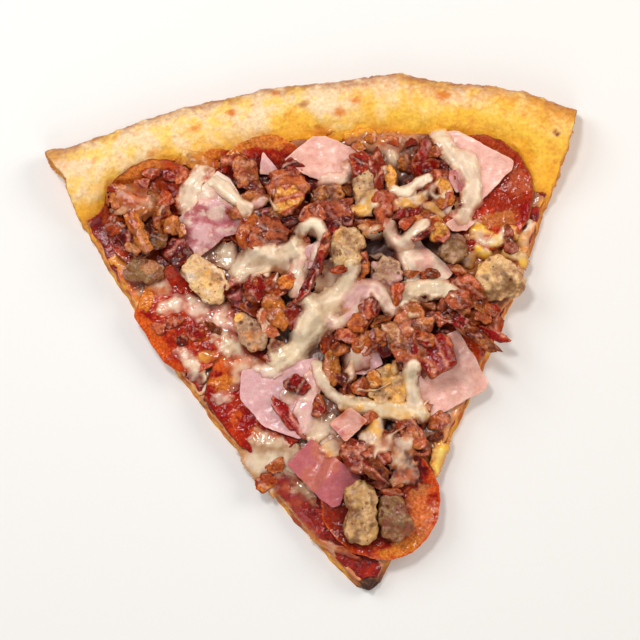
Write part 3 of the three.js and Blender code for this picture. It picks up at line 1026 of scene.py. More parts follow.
    def build(self, stack: Stack) -> None:
        """Adds blisters, folds and crumb, works out the browning, and writes the piece.

        Args:
            stack: The map that the crust is laid on.
        """
        raw = self.surface()
        p, q, u, cut = raw.points, raw.values["q"], raw.values["u"], raw.values["cut"]
        broad, middle, fine = (Noise(n).layered(p, size, 3) for n, size in ((1, 14), (2, 5), (3, 1.7)))
        skin = q > 0.75 * UNDERSIDE
        on_rim = fade(1.0, 0.9, q) * skin * fade(0.05, 2.0, p[:, 2])
        outer, free = fade(0.55, 0.1, q), 1 - fade(0.0, 0.6, cut)
        blister = fade(0.42, 0.1, Noise(4).cells(p, 4.2)) * fade(-0.1, 0.5, Noise(5).smooth(p, 12))
        crumbly = outer * fade(0.35, 0.6, u + 0.1 * broad)
        push = on_rim * (0.75 * broad + 0.32 * middle + (0.08 + 0.3 * outer) * fine + 0.4 * blister)
        push += on_rim * 0.5 * crumbly * fade(0.5, 0.1, Noise(19).cells(p, 1.9))
        holes = fade(0.5, 0.2, Noise(6).cells(p * np.array([1, 1, 1.5]), 3.4))
        small = fade(0.45, 0.15, Noise(7).cells(p * np.array([1, 1, 1.3]), 1.5))
        push -= cut * fade(0.2, 1.4, p[:, 2]) * (0.45 * holes + 0.2 * small - 0.22 * middle - 0.1 * fine)
        seams = np.exp(-(np.minimum(u, 1 - u) / 0.012) ** 2) * free * fade(1.0, 0.9, q) * skin
        push *= 1 - 0.8 * seams
        border = fade(4.0, 1.5, OUTLINE.past_cuts(p[:, :2])) * fade(0.9, 0.99, q) * fade(0.05, 2.0, p[:, 2])
        shape = raw.pushed(push + 0.8 * border * free * (middle + 0.4 * fine))
        seam = mixed(T.TOAST, T.HONEY, fade(-0.4, 0.4, middle))
        seam = mixed(seam, T.CRISP, 0.8 * fade(0.15, 0.6, fine + 0.5 * broad))
        seared = fade(0.5, 0.85, Noise(9).layered(p, 12, 3) + 0.3 * middle)
        crumb = coated(
            mixed(T.TOAST, T.HONEY, fade(-0.3, 0.6, middle)),
            (T.BUTTER, 0.6 * fade(0.0, 0.7, fine + 0.4 * broad)),
            # the brown in the crumb's holes is painted shade; the seared patches are the crumb's own browning
            (T.BROWN, np.clip(0.5 * holes + 0.8 * seared, 0, 0.85)),
        )
        stain = fade(0.0, 0.45, Noise(18).layered(p, 4.5, 3)) * border * fade(45, 20, p[:, 1])
        near_tip = np.linalg.norm(p[:, :2] - np.array(OUTLINE.tip), axis=1)
        base = coated(
            self.browning(p, q, u, broad, middle, fine),
            (seam, border),
            (crumb, fade(0.02, 0.4, cut)),
            (T.PAPRIKA, 0.75 * stain),
            (T.CRISP, 0.8 * fade(16, 7, near_tip + 5 * middle)),
            (T.BLACK, 0.92 * fade(6.5, 3, near_tip + 3 * middle)),
        )
        oil = free * np.clip(0.2 + 0.6 * fade(0.1, 0.65, u) + 0.4 * fade(0.3, 0.8, q), 0, 1)
        shape = Surface(shape.points, shape.faces, {"tint": np.clip(base, 0, 1), "oil": oil})
        stack.lay(shape)
        write_piece("crust_baked", shape, DoughFinish().make(), ["crust"])

    def browning(self, p: Array, q: Array, u: Array, broad: Array, middle: Array, fine: Array) -> Array:
        """Colours of the crust: floury on the outside and at the left, golden and oily inside.

        Args:
            p: Places.
            q: Share of the way in over the rim.
            u: Share of the way across.
            broad: Noise some 14 mm across.
            middle: Noise some 5 mm across.
            fine: Noise some 2 mm across.

        Returns:
            The colours.
        """
        patches = Noise(8).layered(p, 8, 4)
        right = fade(0.42, 0.72, u + 0.1 * broad)
        pale = mixed(T.FLOUR, T.BUTTER, fade(-0.15, 0.6, patches + 0.3 * fine))
        sunny = mixed(T.BUTTER, T.GOLDEN, fade(-0.5, 0.4, patches))
        golden_in = fade(0.05, 0.5, q + 0.12 * broad + 0.1 * middle)
        base = mixed(pale, sunny, 0.9 * np.clip(right * golden_in + fade(0.76, 0.94, u), 0, 1))
        corner = fade(0.8, 0.98, u + 0.05 * middle) * fade(0.45, 0.05, q)
        inner = fade(0.3, 0.72, q + 0.18 * broad + 0.12 * middle + 0.22 * right)
        crumbs = fade(0.3, 0.7, Noise(19).cells(p, 1.9)) * fade(0.5, 0.1, q) * right
        spots = fade(0.42, 0.8, Noise(16).layered(p, 3.2, 3)) * fade(-0.3, 0.2, broad + 0.3)
        base = coated(
            base,
            (T.TOAST, 0.5 * corner * fade(-0.5, 0.5, patches + fine)),
            (T.TAN, 0.7 * fade(0.06, 0.0, u) * fade(0.4, 0.0, q)),
            (T.GOLDEN, 0.9 * inner),
            (T.HONEY, 0.85 * fade(0.5, 0.85, q + 0.12 * middle + 0.1 * broad)),
            (T.TOAST, 0.45 * fade(0.1, 0.8, patches) * inner),
            (T.TOAST, 0.5 * crumbs),
            (T.TOAST, 0.5 * spots),
            (T.AMBER, 0.6 * fade(0.8, 0.96, q + 0.06 * middle)),
        )
        base = painted(p, base, self.burns, 0.7, 17, 0.85)
        edge = fade(0.16, -0.04, q + 0.07 * fine + 0.05 * middle)
        side = mixed(T.TAN, T.CRISP, fade(-0.2, 0.7, patches))
        return coated(
            base,
            (T.CRISP, 0.8 * edge * fade(-1.1, 0.2, middle + 0.3 * broad)),
            (side, 0.75 * fade(-0.12, -0.5, q)),
            (T.CRISP, 0.6 * (q < 0.75 * UNDERSIDE) * fade(-0.1, 0.5, broad)),
        )


@dataclass
class Spread:
    """A soft layer over the dough, from the point to the rim's foot, with its edges at the cuts."""

    name: str
    node: str
    columns: int
    rows: int
    rim_inset: float
    cut_inset: float
    wander: float = 1.6

    def grid(self, seed: int) -> tuple[Array, Array, Array]:
        """Plan positions of the layer.

        Args:
            seed: Picks how its edges wander.

        Returns:
            Positions of shape (rows, columns, 2), and u and v of shape (rows, columns).
        """
        v, u = np.meshgrid(np.linspace(0, 1, self.rows), np.linspace(0, 1, self.columns), indexing="ij")
        foot = OUTLINE.outer_radius(u) - OUTLINE.rim(u) - self.rim_inset
        ray = np.stack([9 * u, np.zeros_like(u), np.full_like(u, seed)], -1).reshape(-1, 3)
        foot = foot + self.wander * Noise(seed).layered(ray, 0.5, 3).reshape(u.shape)
        side = np.stack([14 * v, 5 * np.round(u), np.full_like(u, seed)], -1).reshape(-1, 3)
        inset = self.cut_inset + self.wander * 0.5 * Noise(seed + 1).layered(side, 0.5, 3).reshape(u.shape)
        inset = np.where(v > 0.02, inset, self.cut_inset)
        start = 2 * self.cut_inset + 1
        return OUTLINE.place(u, start + (foot - start) * v, inset), u, v

    def closed(self, xy: Array, top: Array, floor: float, bulge: float, v: Array) -> Surface:
        """Closes a height field: its edge rolls over, as half a turn of a circle, to a flat base.

        Args:
            xy: Plan positions.
            top: Heights.
            floor: Height of the base.
            bulge: How far the edge bulges out.
            v: Share along.

        Returns:
            The closed surface.
        """
        grid = np.concatenate([xy, top[..., None], v[..., None]], -1)
        border = np.concatenate([grid[:-1, 0], grid[-1, :-1], grid[:0:-1, -1], grid[0, :0:-1]])
        ahead = np.roll(border, -1, 0) - np.roll(border, 1, 0)
        outward = unit(np.stack([-ahead[:, 1], ahead[:, 0]], -1))
        swing = np.linspace(0, math.pi, 9)[:, None]
        ring_xy = border[None, :, :2] + bulge * np.sin(swing)[..., None] * outward[None]
        ring_z = floor + (border[None, :, 2] - floor) * (0.5 + 0.5 * np.cos(swing))
        ring = np.concatenate([ring_xy, ring_z[..., None]], -1)
        parts = [grid_surface(grid[..., :3], flip=True, v=v),
                 grid_surface(ring, wrap=True, flip=True, v=np.broadcast_to(border[:, 3], ring.shape[:2])),
                 flat_base(ring[-1], v=border[:, 3])]
        return joined(parts).welded()


@dataclass
class Sauce(Spread):
    """The tomato sauce, lumpy with pulp."""

    thickness: float = 0.8
    colour: Colour = srgb(140, 14, 10)

    def build(self, stack: Stack) -> None:
        """Writes the sauce.

        Args:
            stack: What it rests on.
        """
        xy, _, v = self.grid(11)
        pulp = Noise(12).layered(ground(xy), 3, 3).reshape(v.shape)
        rest = stack.rest(xy[..., 0], xy[..., 1], 0.0, 1.0)
        top = np.maximum(rest, OUTLINE.dough) + self.thickness + 0.22 * pulp
        shape = self.closed(xy, top, OUTLINE.dough + 0.15, 0.35, v)
        stack.lay(shape, self.colour)
        write_piece(self.name, Surface(shape.points, shape.faces), SauceFinish().make(), [self.node])


@dataclass(frozen=True)
class Spot:
    """A round place on the slice, in millimetres, with a strength."""

    x: float
    y: float
    radius: float
    strength: float = 1.0


def spots_value(xy: Array, spots: Iterable[Spot]) -> Array:
    """The sum of soft round spots at each place.

    Args:
        xy: Places, the last axis of length two.
        spots: The spots.

    Returns:
        One value per place.
    """
    total = np.zeros(xy.shape[:-1])
    for spot in spots:
        away = np.hypot(xy[..., 0] - spot.x, xy[..., 1] - spot.y)
        total = total + spot.strength * fade(1.25 * spot.radius, 0.55 * spot.radius, away)
    return total


@dataclass
class Cheese(Spread):
    """The melted cheese: bubbled, torn open in places so that the sauce shows."""

    thickness: float = 1.9
    bare: tuple[Spot, ...] = several(
        Spot,
        (-72, 35, 5), (-70.6, 29, 5, 1.2), (-68.5, 20.5, 2.5), (-40, -17, 4.5, 0.9), (-35, -24, 3.5, 0.8),
        (-8, -54, 6), (-1.5, -61, 6), (5, -67, 6), (13, -75, 6), (18, -80, 5), (76, 40, 3, 1.1),
        (70.6, 36, 2.4, 0.7),
    )
    baked: tuple[Spot, ...] = several(
        Spot,
        (-68, 23, 5), (-64.6, 15, 6), (-59, 8, 4), (81, 42, 4), (78, 33, 4),
    )
    bubbly: tuple[Spot, ...] = several(Spot, (60, 27, 15), (72, 20, 8), (41, -43, 8), (-60, 14, 8, 0.6))
    # middle places under the toppings, dark red: oil, and painted shade from the pile above
    oil_and_shade: tuple[Spot, ...] = several(
        Spot,
        (6, 38, 22), (18, 8, 28), (22, -30, 15), (-14, 34, 20), (36, 40, 14), (20, -60, 12, 0.7),
    )

    def build(self, stack: Stack) -> None:
        """Writes the cheese.

        Args:
            stack: What it rests on.
        """
        xy, _, v = self.grid(21)
        floor = OUTLINE.dough + 0.3
        flat = ground(xy)
        lumps = Noise(22).layered(flat, 7, 3).reshape(v.shape)
        fine = Noise(23).layered(flat, 2.2, 3).reshape(v.shape)
        bubble = fade(0.5, 0.15, Noise(24).cells(flat, 5)).reshape(v.shape)
        torn = fade(0.45, 0.75, spots_value(xy, self.bare) + 0.45 * lumps + 0.15 * fine)
        yellow = np.clip(spots_value(xy, self.bubbly), 0, 1)
        rest = stack.rest(xy[..., 0], xy[..., 1], 0.0, 2.0)
        base = np.maximum(rest, OUTLINE.dough + 0.8)
        depth = self.thickness * (0.62 + 0.4 * lumps) + 0.22 * fine + 0.8 * bubble * (0.35 + yellow)
        edge = np.minimum(1, (1 - v) * 60)
        top = base + np.maximum(depth, 0.4) * (1 - torn) * (0.35 + 0.65 * edge) - 1.3 * torn
        shape = self.closed(xy, np.maximum(top, floor + 0.25), floor, 0.7, v)
        shape = shape.tinted(self.melting(shape.points, shape.values["v"]))
        stack.lay(shape)
        material = MeltedFinish("melted_cheese", 2.4, 0.4, 0.2).make()
        write_piece(self.name, shape, material, [self.node])

    def melting(self, p: Array, v: Array) -> Array:
        """Colours of the cheese: cream, yellow where it bubbled, orange with oil, brown at its edges, and
        dark red in the middle under the toppings, which is partly oil and partly painted shade.

        Args:
            p: Places.
            v: Share of the way from the point to the rim.

        Returns:
            The colours.
        """
        place = p[:, :2]
        patches = Noise(25).layered(p, 6, 4)
        inside = OUTLINE.past_cuts(place)
        yellow = spots_value(place, self.bubbly) + 0.4 * patches
        oil = 0.45 * patches + 0.9 * fade(6, 1.5, inside) + 0.3 * Noise(27).layered(p, 2.2, 3)
        sauced = fade(0.15, 0.7, Noise(28).layered(p, 9, 4) + 0.2)
        brown = (0.7 * fade(0.93, 0.995, v) + 0.5 * fade(2.4, 0.6, inside) * fade(-0.1, 0.5, patches)
                 + 0.35 * fade(0.35, 0.8, Noise(26).layered(p, 2.6, 3)))
        baked = fade(0.3, 0.8, spots_value(place, self.baked) + 0.3 * patches)
        return coated(
            mixed(T.CREAM, T.IVORY, fade(-0.4, 0.6, patches)),
            (T.GOLD, 0.85 * fade(0.2, 0.8, yellow)),
            (T.APRICOT, 0.85 * fade(0.2, 0.7, oil)),
            (T.BRICK, 0.5 * sauced * (1 - np.clip(yellow, 0, 1))),
            (T.CRISP, np.clip(brown, 0, 0.9)),
            (mixed(T.ORANGE, T.HONEY, fade(-0.4, 0.4, patches)), 0.9 * baked),
            # dark red under the toppings: oil and painted shade
            (T.MAROON, 0.9 * np.clip(spots_value(place, self.oil_and_shade), 0, 1)),
        )


# ------------------------------------------------------------------ shapes of the toppings

def ray_lengths(start: Array, end: Array, spokes: int) -> Array:
    """Distance from the origin to the farthest of some line pieces, in evenly spaced directions.

    Args:
        start: Starts of the pieces, one x and y a row.
        end: Their ends.
        spokes: How many directions.

    Returns:
        One distance for each direction.
    """
    angle = np.linspace(0, 2 * np.pi, spokes, endpoint=False)
    ray = np.stack([np.cos(angle), np.sin(angle)], -1)
    along = end - start
    cross = ray[:, None, 0] * along[None, :, 1] - ray[:, None, 1] * along[None, :, 0]
    cross = np.where(np.abs(cross) < 1e-9, 1e-9, cross)
    share = (start[None, :, 0] * ray[:, None, 1] - start[None, :, 1] * ray[:, None, 0]) / cross
    reach = (start[None, :, 0] * along[None, :, 1] - start[None, :, 1] * along[None, :, 0]) / cross
    hit = (share >= -1e-6) & (share <= 1 + 1e-6) & (reach > 0)
    return np.where(hit, reach, 0).max(1)


def node_outline(node: str, spokes: int) -> tuple[Array, Array]:
    """The plan outline of one of the frame's nodes, seen from its middle.

    Args:
        node: The node's name.
        spokes: How many directions.

    Returns:
        The middle, and the distance to the outline in each direction, in millimetres.
    """
    mesh = frame["nodes"][node].data
    points = np.empty(len(mesh.vertices) * 3)
    mesh.vertices.foreach_get("co", points)
    plan = points.reshape(-1, 3)[:, :2] / MM
    mesh.calc_loop_triangles()
    faces = np.empty(len(mesh.loop_triangles) * 3, dtype=np.int32)
    mesh.loop_triangles.foreach_get("vertices", faces)
    faces = faces.reshape(-1, 3)
    middle = 0.5 * (0.5 * (plan.min(0) + plan.max(0)) + np.unique(np.round(plan, 3), axis=0).mean(0))
    start = plan[faces].reshape(-1, 2) - middle
    end = plan[np.roll(faces, -1, 1)].reshape(-1, 2) - middle
    return middle, ray_lengths(start, end, spokes)


def corner_outline(corners: Sequence[tuple[float, float]], spokes: int) -> tuple[Array, Array]:
    """The outline of a polygon, seen from its middle.

    Args:
        corners: Its corners in turn.
        spokes: How many directions to measure.

    Returns:
        The middle, and the distance to the outline in each direction.
    """
    ring = np.array(corners, dtype=float)
    middle = ring.mean(0)
    return middle, ray_lengths(ring - middle, np.roll(ring, -1, 0) - middle, spokes)


def smoothed_ring(values: Array, spread: float) -> Array:
    """Averages values round a closed ring with a bell curve spread steps wide.

    Args:
        values: One value per spoke.
        spread: Spread of the bell, in steps.

    Returns:
        The averages.
    """
    taps = int(3 * spread) + 1
    return sum(w * np.roll(values, n - taps) for n, w in enumerate(bell(taps, spread)))


def pillow(radii: Array, rows: int, crisp: float, under: int = 6) -> tuple[Array, Array, Array]:
    """A closed flat body round its middle.

    Rows run from the middle of the top over the edge to the middle of the base; at a share rho of
    the way out, the height is the crisp-th root of 1 - rho to the crisp, so a large crisp gives a
    square edge.

    Args:
        radii: Distance to the outline for each spoke.
        rows: Rows on the top.
        crisp: Squareness of the edge.
        under: Rows on the base.

    Returns:
        x, y and height from -1 to 1, each of shape (rows + under, spokes).
    """
    angle = np.linspace(0, 2 * np.pi, len(radii), endpoint=False)
    over = np.sin(0.5 * np.pi * np.linspace(0, 1, rows)) ** 0.9
    base = np.sin(0.5 * np.pi * np.linspace(0, 1, under + 1)[:-1]) ** 0.7
    rise = np.maximum(1 - over ** crisp, 0) ** (1 / crisp)
    fall = -np.maximum(1 - base ** crisp, 0) ** (1 / crisp)
    rho = np.concatenate([over, base[::-1]])[:, None]
    side = np.concatenate([rise, fall[::-1]])[:, None]
    spread = rho * radii
    return spread * np.cos(angle), spread * np.sin(angle), np.broadcast_to(side, spread.shape)


def plan_outline(name: str, corners: Sequence[tuple[float, float]], spokes: int) -> tuple[Array, Array]:
    """The outline of a piece, from corners of its own if it has any, or else from its node.

    Args:
        name: The node.
        corners: Corners of its own, or none.
        spokes: How many directions to measure.

    Returns:
        The middle, and the distance to the outline in each direction.
    """
    return corner_outline(corners, spokes) if corners else node_outline(name, spokes)


@dataclass
class Sheet:
    """A limp sheet that lies over what is below it."""

    middle: Array
    radii: Array
    thickness: float
    rows: int = 24
    crisp: float = 14.0
    rough: float = 0.25
    reach: float = 0.6
    soften: float = 2.2
    cup: float = 0.0
    seed: int = 0

    def shape(self, stack: Stack) -> Surface:
        """Lays the sheet: each point of its outline is jogged by noise, then it takes the height below.

        Args:
            stack: What it rests on.

        Returns:
            The surface, with rho, the share of the way out, and side, 1 on top and -1 below.
        """
        ring = circle(self.radii, 3.3 * self.seed)
        radii = np.maximum(self.radii + self.rough * Noise(self.seed + 40).layered(ring, 4, 4), 0.3)
        x, y, side = pillow(radii, self.rows, self.crisp)
        rho = np.hypot(x, y) / radii
        x, y = x + self.middle[0], y + self.middle[1]
        rest = stack.rest(x, y, self.reach, self.soften)
        flat = ground(np.stack([x, y], -1))
        curl = Noise(self.seed + 41).smooth(flat, 14).reshape(x.shape)
        z = rest + 0.5 * self.thickness * (1 + side) + self.cup * rho ** 3 * (0.7 + 0.8 * curl)
        z += 0.1 * self.thickness * Noise(self.seed + 42).layered(flat, 4, 2).reshape(x.shape)
        return grid_surface(np.stack([x, y, z], -1), wrap=True, flip=True, rho=rho, side=side).welded()


@dataclass
class Topping:
    """A topping that is shaped, laid and written as a piece of its own."""

    name: str
    seed: int
    made: ClassVar[str]
    kind: ClassVar[str]

    def shape(self, stack: Stack) -> Surface:
        """The topping as it lies on what is below.

        Args:
            stack: What it rests on.

        Returns:
            The closed surface with its colours.
        """
        raise NotImplementedError

    def build(self, stack: Stack, material: Material) -> None:
        """Writes the piece, which stands in for a node where its name ends in a node's number.

        Args:
            stack: What it rests on.
            material: Its material.
        """
        shape = self.shape(stack)
        stack.lay(shape)
        replaces = [self.name] if self.name[-1].isdigit() else []
        write_piece(f"{self.name}_{self.made}", shape, material, replaces)


@dataclass
class Pepperoni(Topping):
    """One round of pepperoni, painted with the fat, oil and cheese that run over it."""

    made: ClassVar[str] = "sliced"
    kind: ClassVar[str] = "pepperoni"
    dabs: tuple[Dab, ...] = ()
    deep: float = 0.4
    orange: float = 0.4
    rim: Tint = T.ORANGE
    cup: float = 0.8
    thickness: float = 1.6

    def shape(self, stack: Stack) -> Surface:
        """The round, draped and painted.

        Args:
            stack: What it rests on.

        Returns:
            The closed surface with its colours.
        """
        middle, radii = node_outline(self.name, 220)
        sheet = Sheet(middle, smoothed_ring(radii, 1.0), self.thickness, rows=52, crisp=12, rough=0.35,
                      soften=2.4, cup=self.cup, seed=self.seed)
        shape = sheet.shape(stack)
        p = shape.points
        top = fade(-0.2, 0.5, shape.values["side"])
        rho = shape.values["rho"]
        soft = Noise(self.seed + 49).layered(p, 6, 3)
        grain = Noise(self.seed + 50).layered(p, 1.8, 3)
        knobs = fade(0.55, 0.1, Noise(self.seed + 51).cells(p, 1.9))
        push = top * fade(1.0, 0.9, rho) * (0.25 * soft + 0.12 * grain + 0.14 * knobs)
        wet = Noise(self.seed + 53).layered(p, 7, 3)
        fat = Noise(self.seed + 54).layered(p, 2.4, 3)
        base = coated(
            mixed(T.PAPRIKA, T.CRIMSON, fade(-0.4, 0.7, soft + 2 * self.deep - 1 + 0.5 * grain)),
            (T.ORANGE, 0.9 * fade(-0.2, 0.6, wet + 2 * self.orange - 1 + 0.5 * grain)),
            (T.ROSE, 0.7 * fade(0.15, 0.6, fat) * knobs),
        )
        base = painted(p, base, self.dabs, 0.55, self.seed)
        edge = np.clip(fade(0.95, 0.995, rho) + 1 - top, 0, 1)
        base = mixed(base, np.array(self.rim.value) * (0.85 + 0.3 * soft[:, None]), 0.75 * edge)
        return Surface(shape.pushed(push).points, shape.faces, {"tint": np.maximum(base, 0)})


@dataclass
class Ham(Topping):
    """One cut piece of ham, from a node or from corners of its own."""

    made: ClassVar[str] = "cut"
    kind: ClassVar[str] = "ham"
    pale: Tint = T.PINK
    deep: Tint = T.LILAC
    dabs: tuple[Dab, ...] = ()
    corners: tuple[tuple[float, float], ...] = ()
    thickness: float = 1.9
    streak: float = 0.15
    mottle: float = 0.0

    def shape(self, stack: Stack) -> Surface:
        """The draped piece with its colours.

        Args:
            stack: What it rests on.

        Returns:
            The surface.
        """
        spokes = 90 if self.corners else 190
        middle, radii = plan_outline(self.name, self.corners, spokes)
        sheet = Sheet(middle, smoothed_ring(radii, 0.8), self.thickness, rows=16 if self.corners else 34,
                      crisp=22, rough=0.3, reach=0.5, soften=1.6, seed=self.seed)
        shape = sheet.shape(stack)
        p = shape.points
        soft = Noise(self.seed + 60).layered(p, 6, 3)
        fibre = Noise(self.seed + 61).layered(p * [1, 2.2, 1], 3.2, 4)
        flecks = Noise(self.seed + 62).layered(p, 2.6, 4, 0.6)
        base = coated(
            mixed(self.pale, self.deep, fade(-0.5, 0.5, soft)),
            (T.MAUVE, self.streak * fade(-0.2, 0.6, fibre)),
            (T.CREAM, self.mottle * fade(0.05, 0.6, flecks)),
            (T.CRIMSON, 0.5 * self.mottle * fade(-0.2, -0.8, flecks)),
        )
        base = painted(p, base, self.dabs, 0.35, self.seed)
        wall = 1 - fade(-0.3, 0.4, shape.values["side"])
        base = base * (1 - 0.25 * wall[:, None])
        push = 0.08 * soft + 0.05 * fibre
        return Surface(shape.pushed(push).points, shape.faces, {"tint": base})


@dataclass
class Crumble(Topping):
    """One lump of cooked sausage."""

    made: ClassVar[str] = "crumbled"
    kind: ClassVar[str] = "sausage"
    main: Tint = T.TAN
    second: Tint = T.GREY
    dabs: tuple[Dab, ...] = ()
    height: float = 6.4
    sink: float = 0.8
    knob: float = 0.5
    corners: tuple[tuple[float, float], ...] = ()

    def shape(self, stack: Stack) -> Surface:
        """The lump: a rounded block with knobs where fat and meat stand out, and pits between.

        Args:
            stack: What it rests on.

        Returns:
            The closed surface with its colours.
        """
        spokes = 120
        middle, radii = plan_outline(self.name, self.corners, spokes)
        ring = circle(np.ones(spokes), 4.3 * self.seed)
        radii = smoothed_ring(radii, 1.6) * (1.03 + 0.1 * Noise(self.seed).layered(ring, 0.6, 3))
        x, y, side = pillow(radii, 42, 5.0, 12)
        rest = stack.rest(x + middle[0], y + middle[1], 0.0, 1.0)
        base = float(np.percentile(rest, 60)) - self.sink
        z = base + 0.5 * self.height * (1 + side)
        z += 0.3 * (rest - base) * fade(-0.2, 1, side)
        shape = grid_surface(np.stack([x + middle[0], y + middle[1], z], -1), wrap=True, flip=True).welded()
        p = shape.points
        lumps = Noise(self.seed + 70).layered(p, 7, 2)
        knobs = fade(0.85, 0.25, Noise(self.seed + 71).cells(p, 4.2))
        grit = fade(0.7, 0.15, Noise(self.seed + 75).cells(p, 1.5))
        fine = Noise(self.seed + 72).layered(p, 2.4, 4)
        pits = fade(0.22, 0.06, Noise(self.seed + 73).cells(p, 3.8))
        shape = shape.pushed(0.8 * lumps + self.knob * knobs + 0.3 * fine + 0.24 * grit - 0.8 * pits - 0.5)
        shade = fade(-0.35, 0.45, Noise(self.seed + 74).layered(p, 5, 3) - 0.4 * knobs + 0.1)
        base = mixed(self.main, self.second, shade)
        base = painted(p, base, self.dabs, 0.5, self.seed)
        # Painted shade: brown in the hollows and pits.
        hollow_shade = fade(0.1, -0.8, lumps + 0.6 * fine - 2.0 * pits)
        base = coated(base, (T.CREAM, 0.16 * grit * fade(-0.2, 0.5, fine)), (T.BROWN, 0.55 * hollow_shade))
        return Surface(shape.points, shape.faces, {"tint": base})


@dataclass(frozen=True)
class Bit:
    """One bit of bacon: where it lies, its size and turn, its two colours, and how it sits."""

    x: float
    y: float
    length: float
    width: float
    turn: float
    main: Tint
    second: Tint = T.BRICK
    thick: float = 2.4
    tilt: float = 0.0
    roll: float = 0.0


@dataclass
class Bacon:
    """Bits of bacon: torn, curled slabs with layers of lean and fat and crisp edges."""

    spokes: int = 60
    rows: int = 16
    under: int = 5
    grow: float = 1.24

    def outline(self, rng: np.random.Generator, seed: int) -> Array:
        """A torn slab's outline: a polygon of five to seven corners whose sides are frayed by noise.

        Args:
            rng: Source of the corners.
            seed: Picks the fraying.

        Returns:
            Distance from the middle for each spoke, about 1.
        """
        count = int(rng.integers(5, 8))
        angle = (np.arange(count) + rng.uniform(-0.3, 0.3, count)) * 2 * np.pi / count + rng.uniform(0, 6.3)
        corners = np.stack([np.cos(angle), np.sin(angle)], -1) * rng.uniform(0.9, 1.25, count)[:, None]
        radii = smoothed_ring(ray_lengths(corners, np.roll(corners, -1, 0), self.spokes), 0.9)
        ring = circle(np.full(self.spokes, 3.0), 7.7 * seed)
        return radii * (1 + 0.16 * Noise(seed).layered(ring, 1.6, 2))

    def slab(self, bit: Bit, rng: np.random.Generator, seed: int) -> Surface:
        """The bit's slab round the origin, creased and curled.

        Args:
            bit: Its size.
            rng: Source of its creases.
            seed: Picks how its border frays.

        Returns:
            The surface, with rho, the share of the way out.
        """
        radii = self.outline(rng, seed)
        x, y, side = pillow(radii, self.rows, 6.0, self.under)
        rho = np.hypot(x, y) / radii
        x, y = 0.5 * self.grow * bit.length * x, 0.5 * self.grow * bit.width * y
        long = max(bit.length / 7, 1)
        curl = rng.uniform(-0.10, 0.14) / (max(bit.length / 6, 0.7) * long ** 1.5)
        crease = rng.uniform(-0.35, 0.3) / long * np.abs(x + 0.6 * y - rng.uniform(-0.2, 0.2) * bit.length)
        z = 0.5 * bit.thick * side + curl * x ** 2 + crease + rng.uniform(-0.07, 0.07) * x * y
        return grid_surface(np.stack([x, y, z], -1), wrap=True, flip=True, rho=rho).welded()

    def bit(self, bit: Bit, seed: int, stack: Stack) -> Surface:
        """One bit: its slab wrinkles, fries in patches, turns and is set down.

        Args:
            bit: Its size, place and colours.
            seed: Picks its creases.
            stack: What it rests on.

        Returns:
            The surface with its colours.
        """
        rng = np.random.default_rng(9000 + seed)
        shape = self.slab(bit, rng, seed)
        p = shape.points + np.array([0, 0, 31.7 * seed])
        lumps = Noise(80).layered(p, 4.0, 2)
        ridges = 1 - 2 * np.abs(Noise(84).layered(p * [1, 1.4, 1], 3.6, 2))
        grit = Noise(85).layered(p, 1.5, 3)
        scale = min(bit.thick, 3.0) ** 0.5
        shape = shape.pushed(scale * (0.28 * lumps + 0.13 * np.clip(ridges, -0.4, 1) - 0.08 + 0.035 * grit))
        way = rng.uniform(0, math.pi)
        across = p[:, 0] * math.cos(way) + p[:, 1] * math.sin(way)
        layers = np.sin(across * rng.uniform(0.8, 1.5) + 1.8 * Noise(81).smooth(p, 5) + rng.uniform(0, 6))
        share = fade(-0.05, 0.3, 0.32 * layers + 0.55 * Noise(82).layered(p, 3.6, 3))
        crisp = fade(0.8, 1.0, shape.values["rho"] + 0.25 * grit)
        toasted = fade(0.0, 0.5, Noise(86).smooth(p, 6))
        flecks, spots = Noise(87).layered(p, 1.5, 2), Noise(88).layered(p, 1.9, 2)
        tilt, roll = bit.tilt + rng.uniform(-17, 17), bit.roll + rng.uniform(-17, 17)
        fried, lean, light = rng.uniform(-1, 1), rng.uniform(-1, 1), rng.uniform(0.76, 1.04)
        base = coated(
            mixed(bit.main, bit.second, share),
            (T.BLUSH, 0.42 * fade(0.66, 0.96, layers + 0.2 * grit)),
            (mixed(T.BROWN, T.BRICK, toasted), 0.8 * crisp),
            # painted shade: maroon in the creases and low lumps
            (T.MAROON, 0.55 * fade(0.1, -0.5, ridges) * fade(0.3, -0.2, lumps)),
            (T.APRICOT, 0.3 * fade(0.3, 0.75, flecks)),
            (T.MAROON, 0.5 * fade(0.25, 0.7, spots)),
            (T.AMBER, 0.5 * max(fried, 0) * fade(-0.5, 0.4, lumps)),
            (T.MAROON, 0.36 * max(lean, 0) * fade(0.4, -0.3, lumps)),
        )
        base = base * (light + 0.12 * np.clip(grit, -1, 1)[:, None])
        turned = shape.moved(turn_matrix(bit.turn, tilt, roll), np.array([bit.x, bit.y, 0.0]))
        q = turned.points
        gap = q[:, 2] - stack.rest(q[:, 0], q[:, 1], 0.0, 0.5)
        drop = float(np.percentile(gap, 16))
        settled = turned.moved(np.eye(3), np.array([0.0, 0.0, -drop]))
        return settled.tinted(base)

    def build(self, name: str, bits: Sequence[Bit], seed: int, stack: Stack, material: Material,
              replaces: Sequence[str] = ()) -> None:
        """Writes a piece made of several bits, each resting on the ones before.

        Args:
            name: The piece's name.
            bits: The bits, in the order in which they fall.
            seed: Picks their shapes.
            stack: What they rest on.
            material: Their material.
            replaces: The nodes that the piece stands in for.
        """
        shapes = []
        for number, bit in enumerate(bits):
            shapes.append(self.bit(bit, seed + number, stack))
            stack.lay(shapes[-1])
        write_piece(name, joined(shapes), material, replaces)


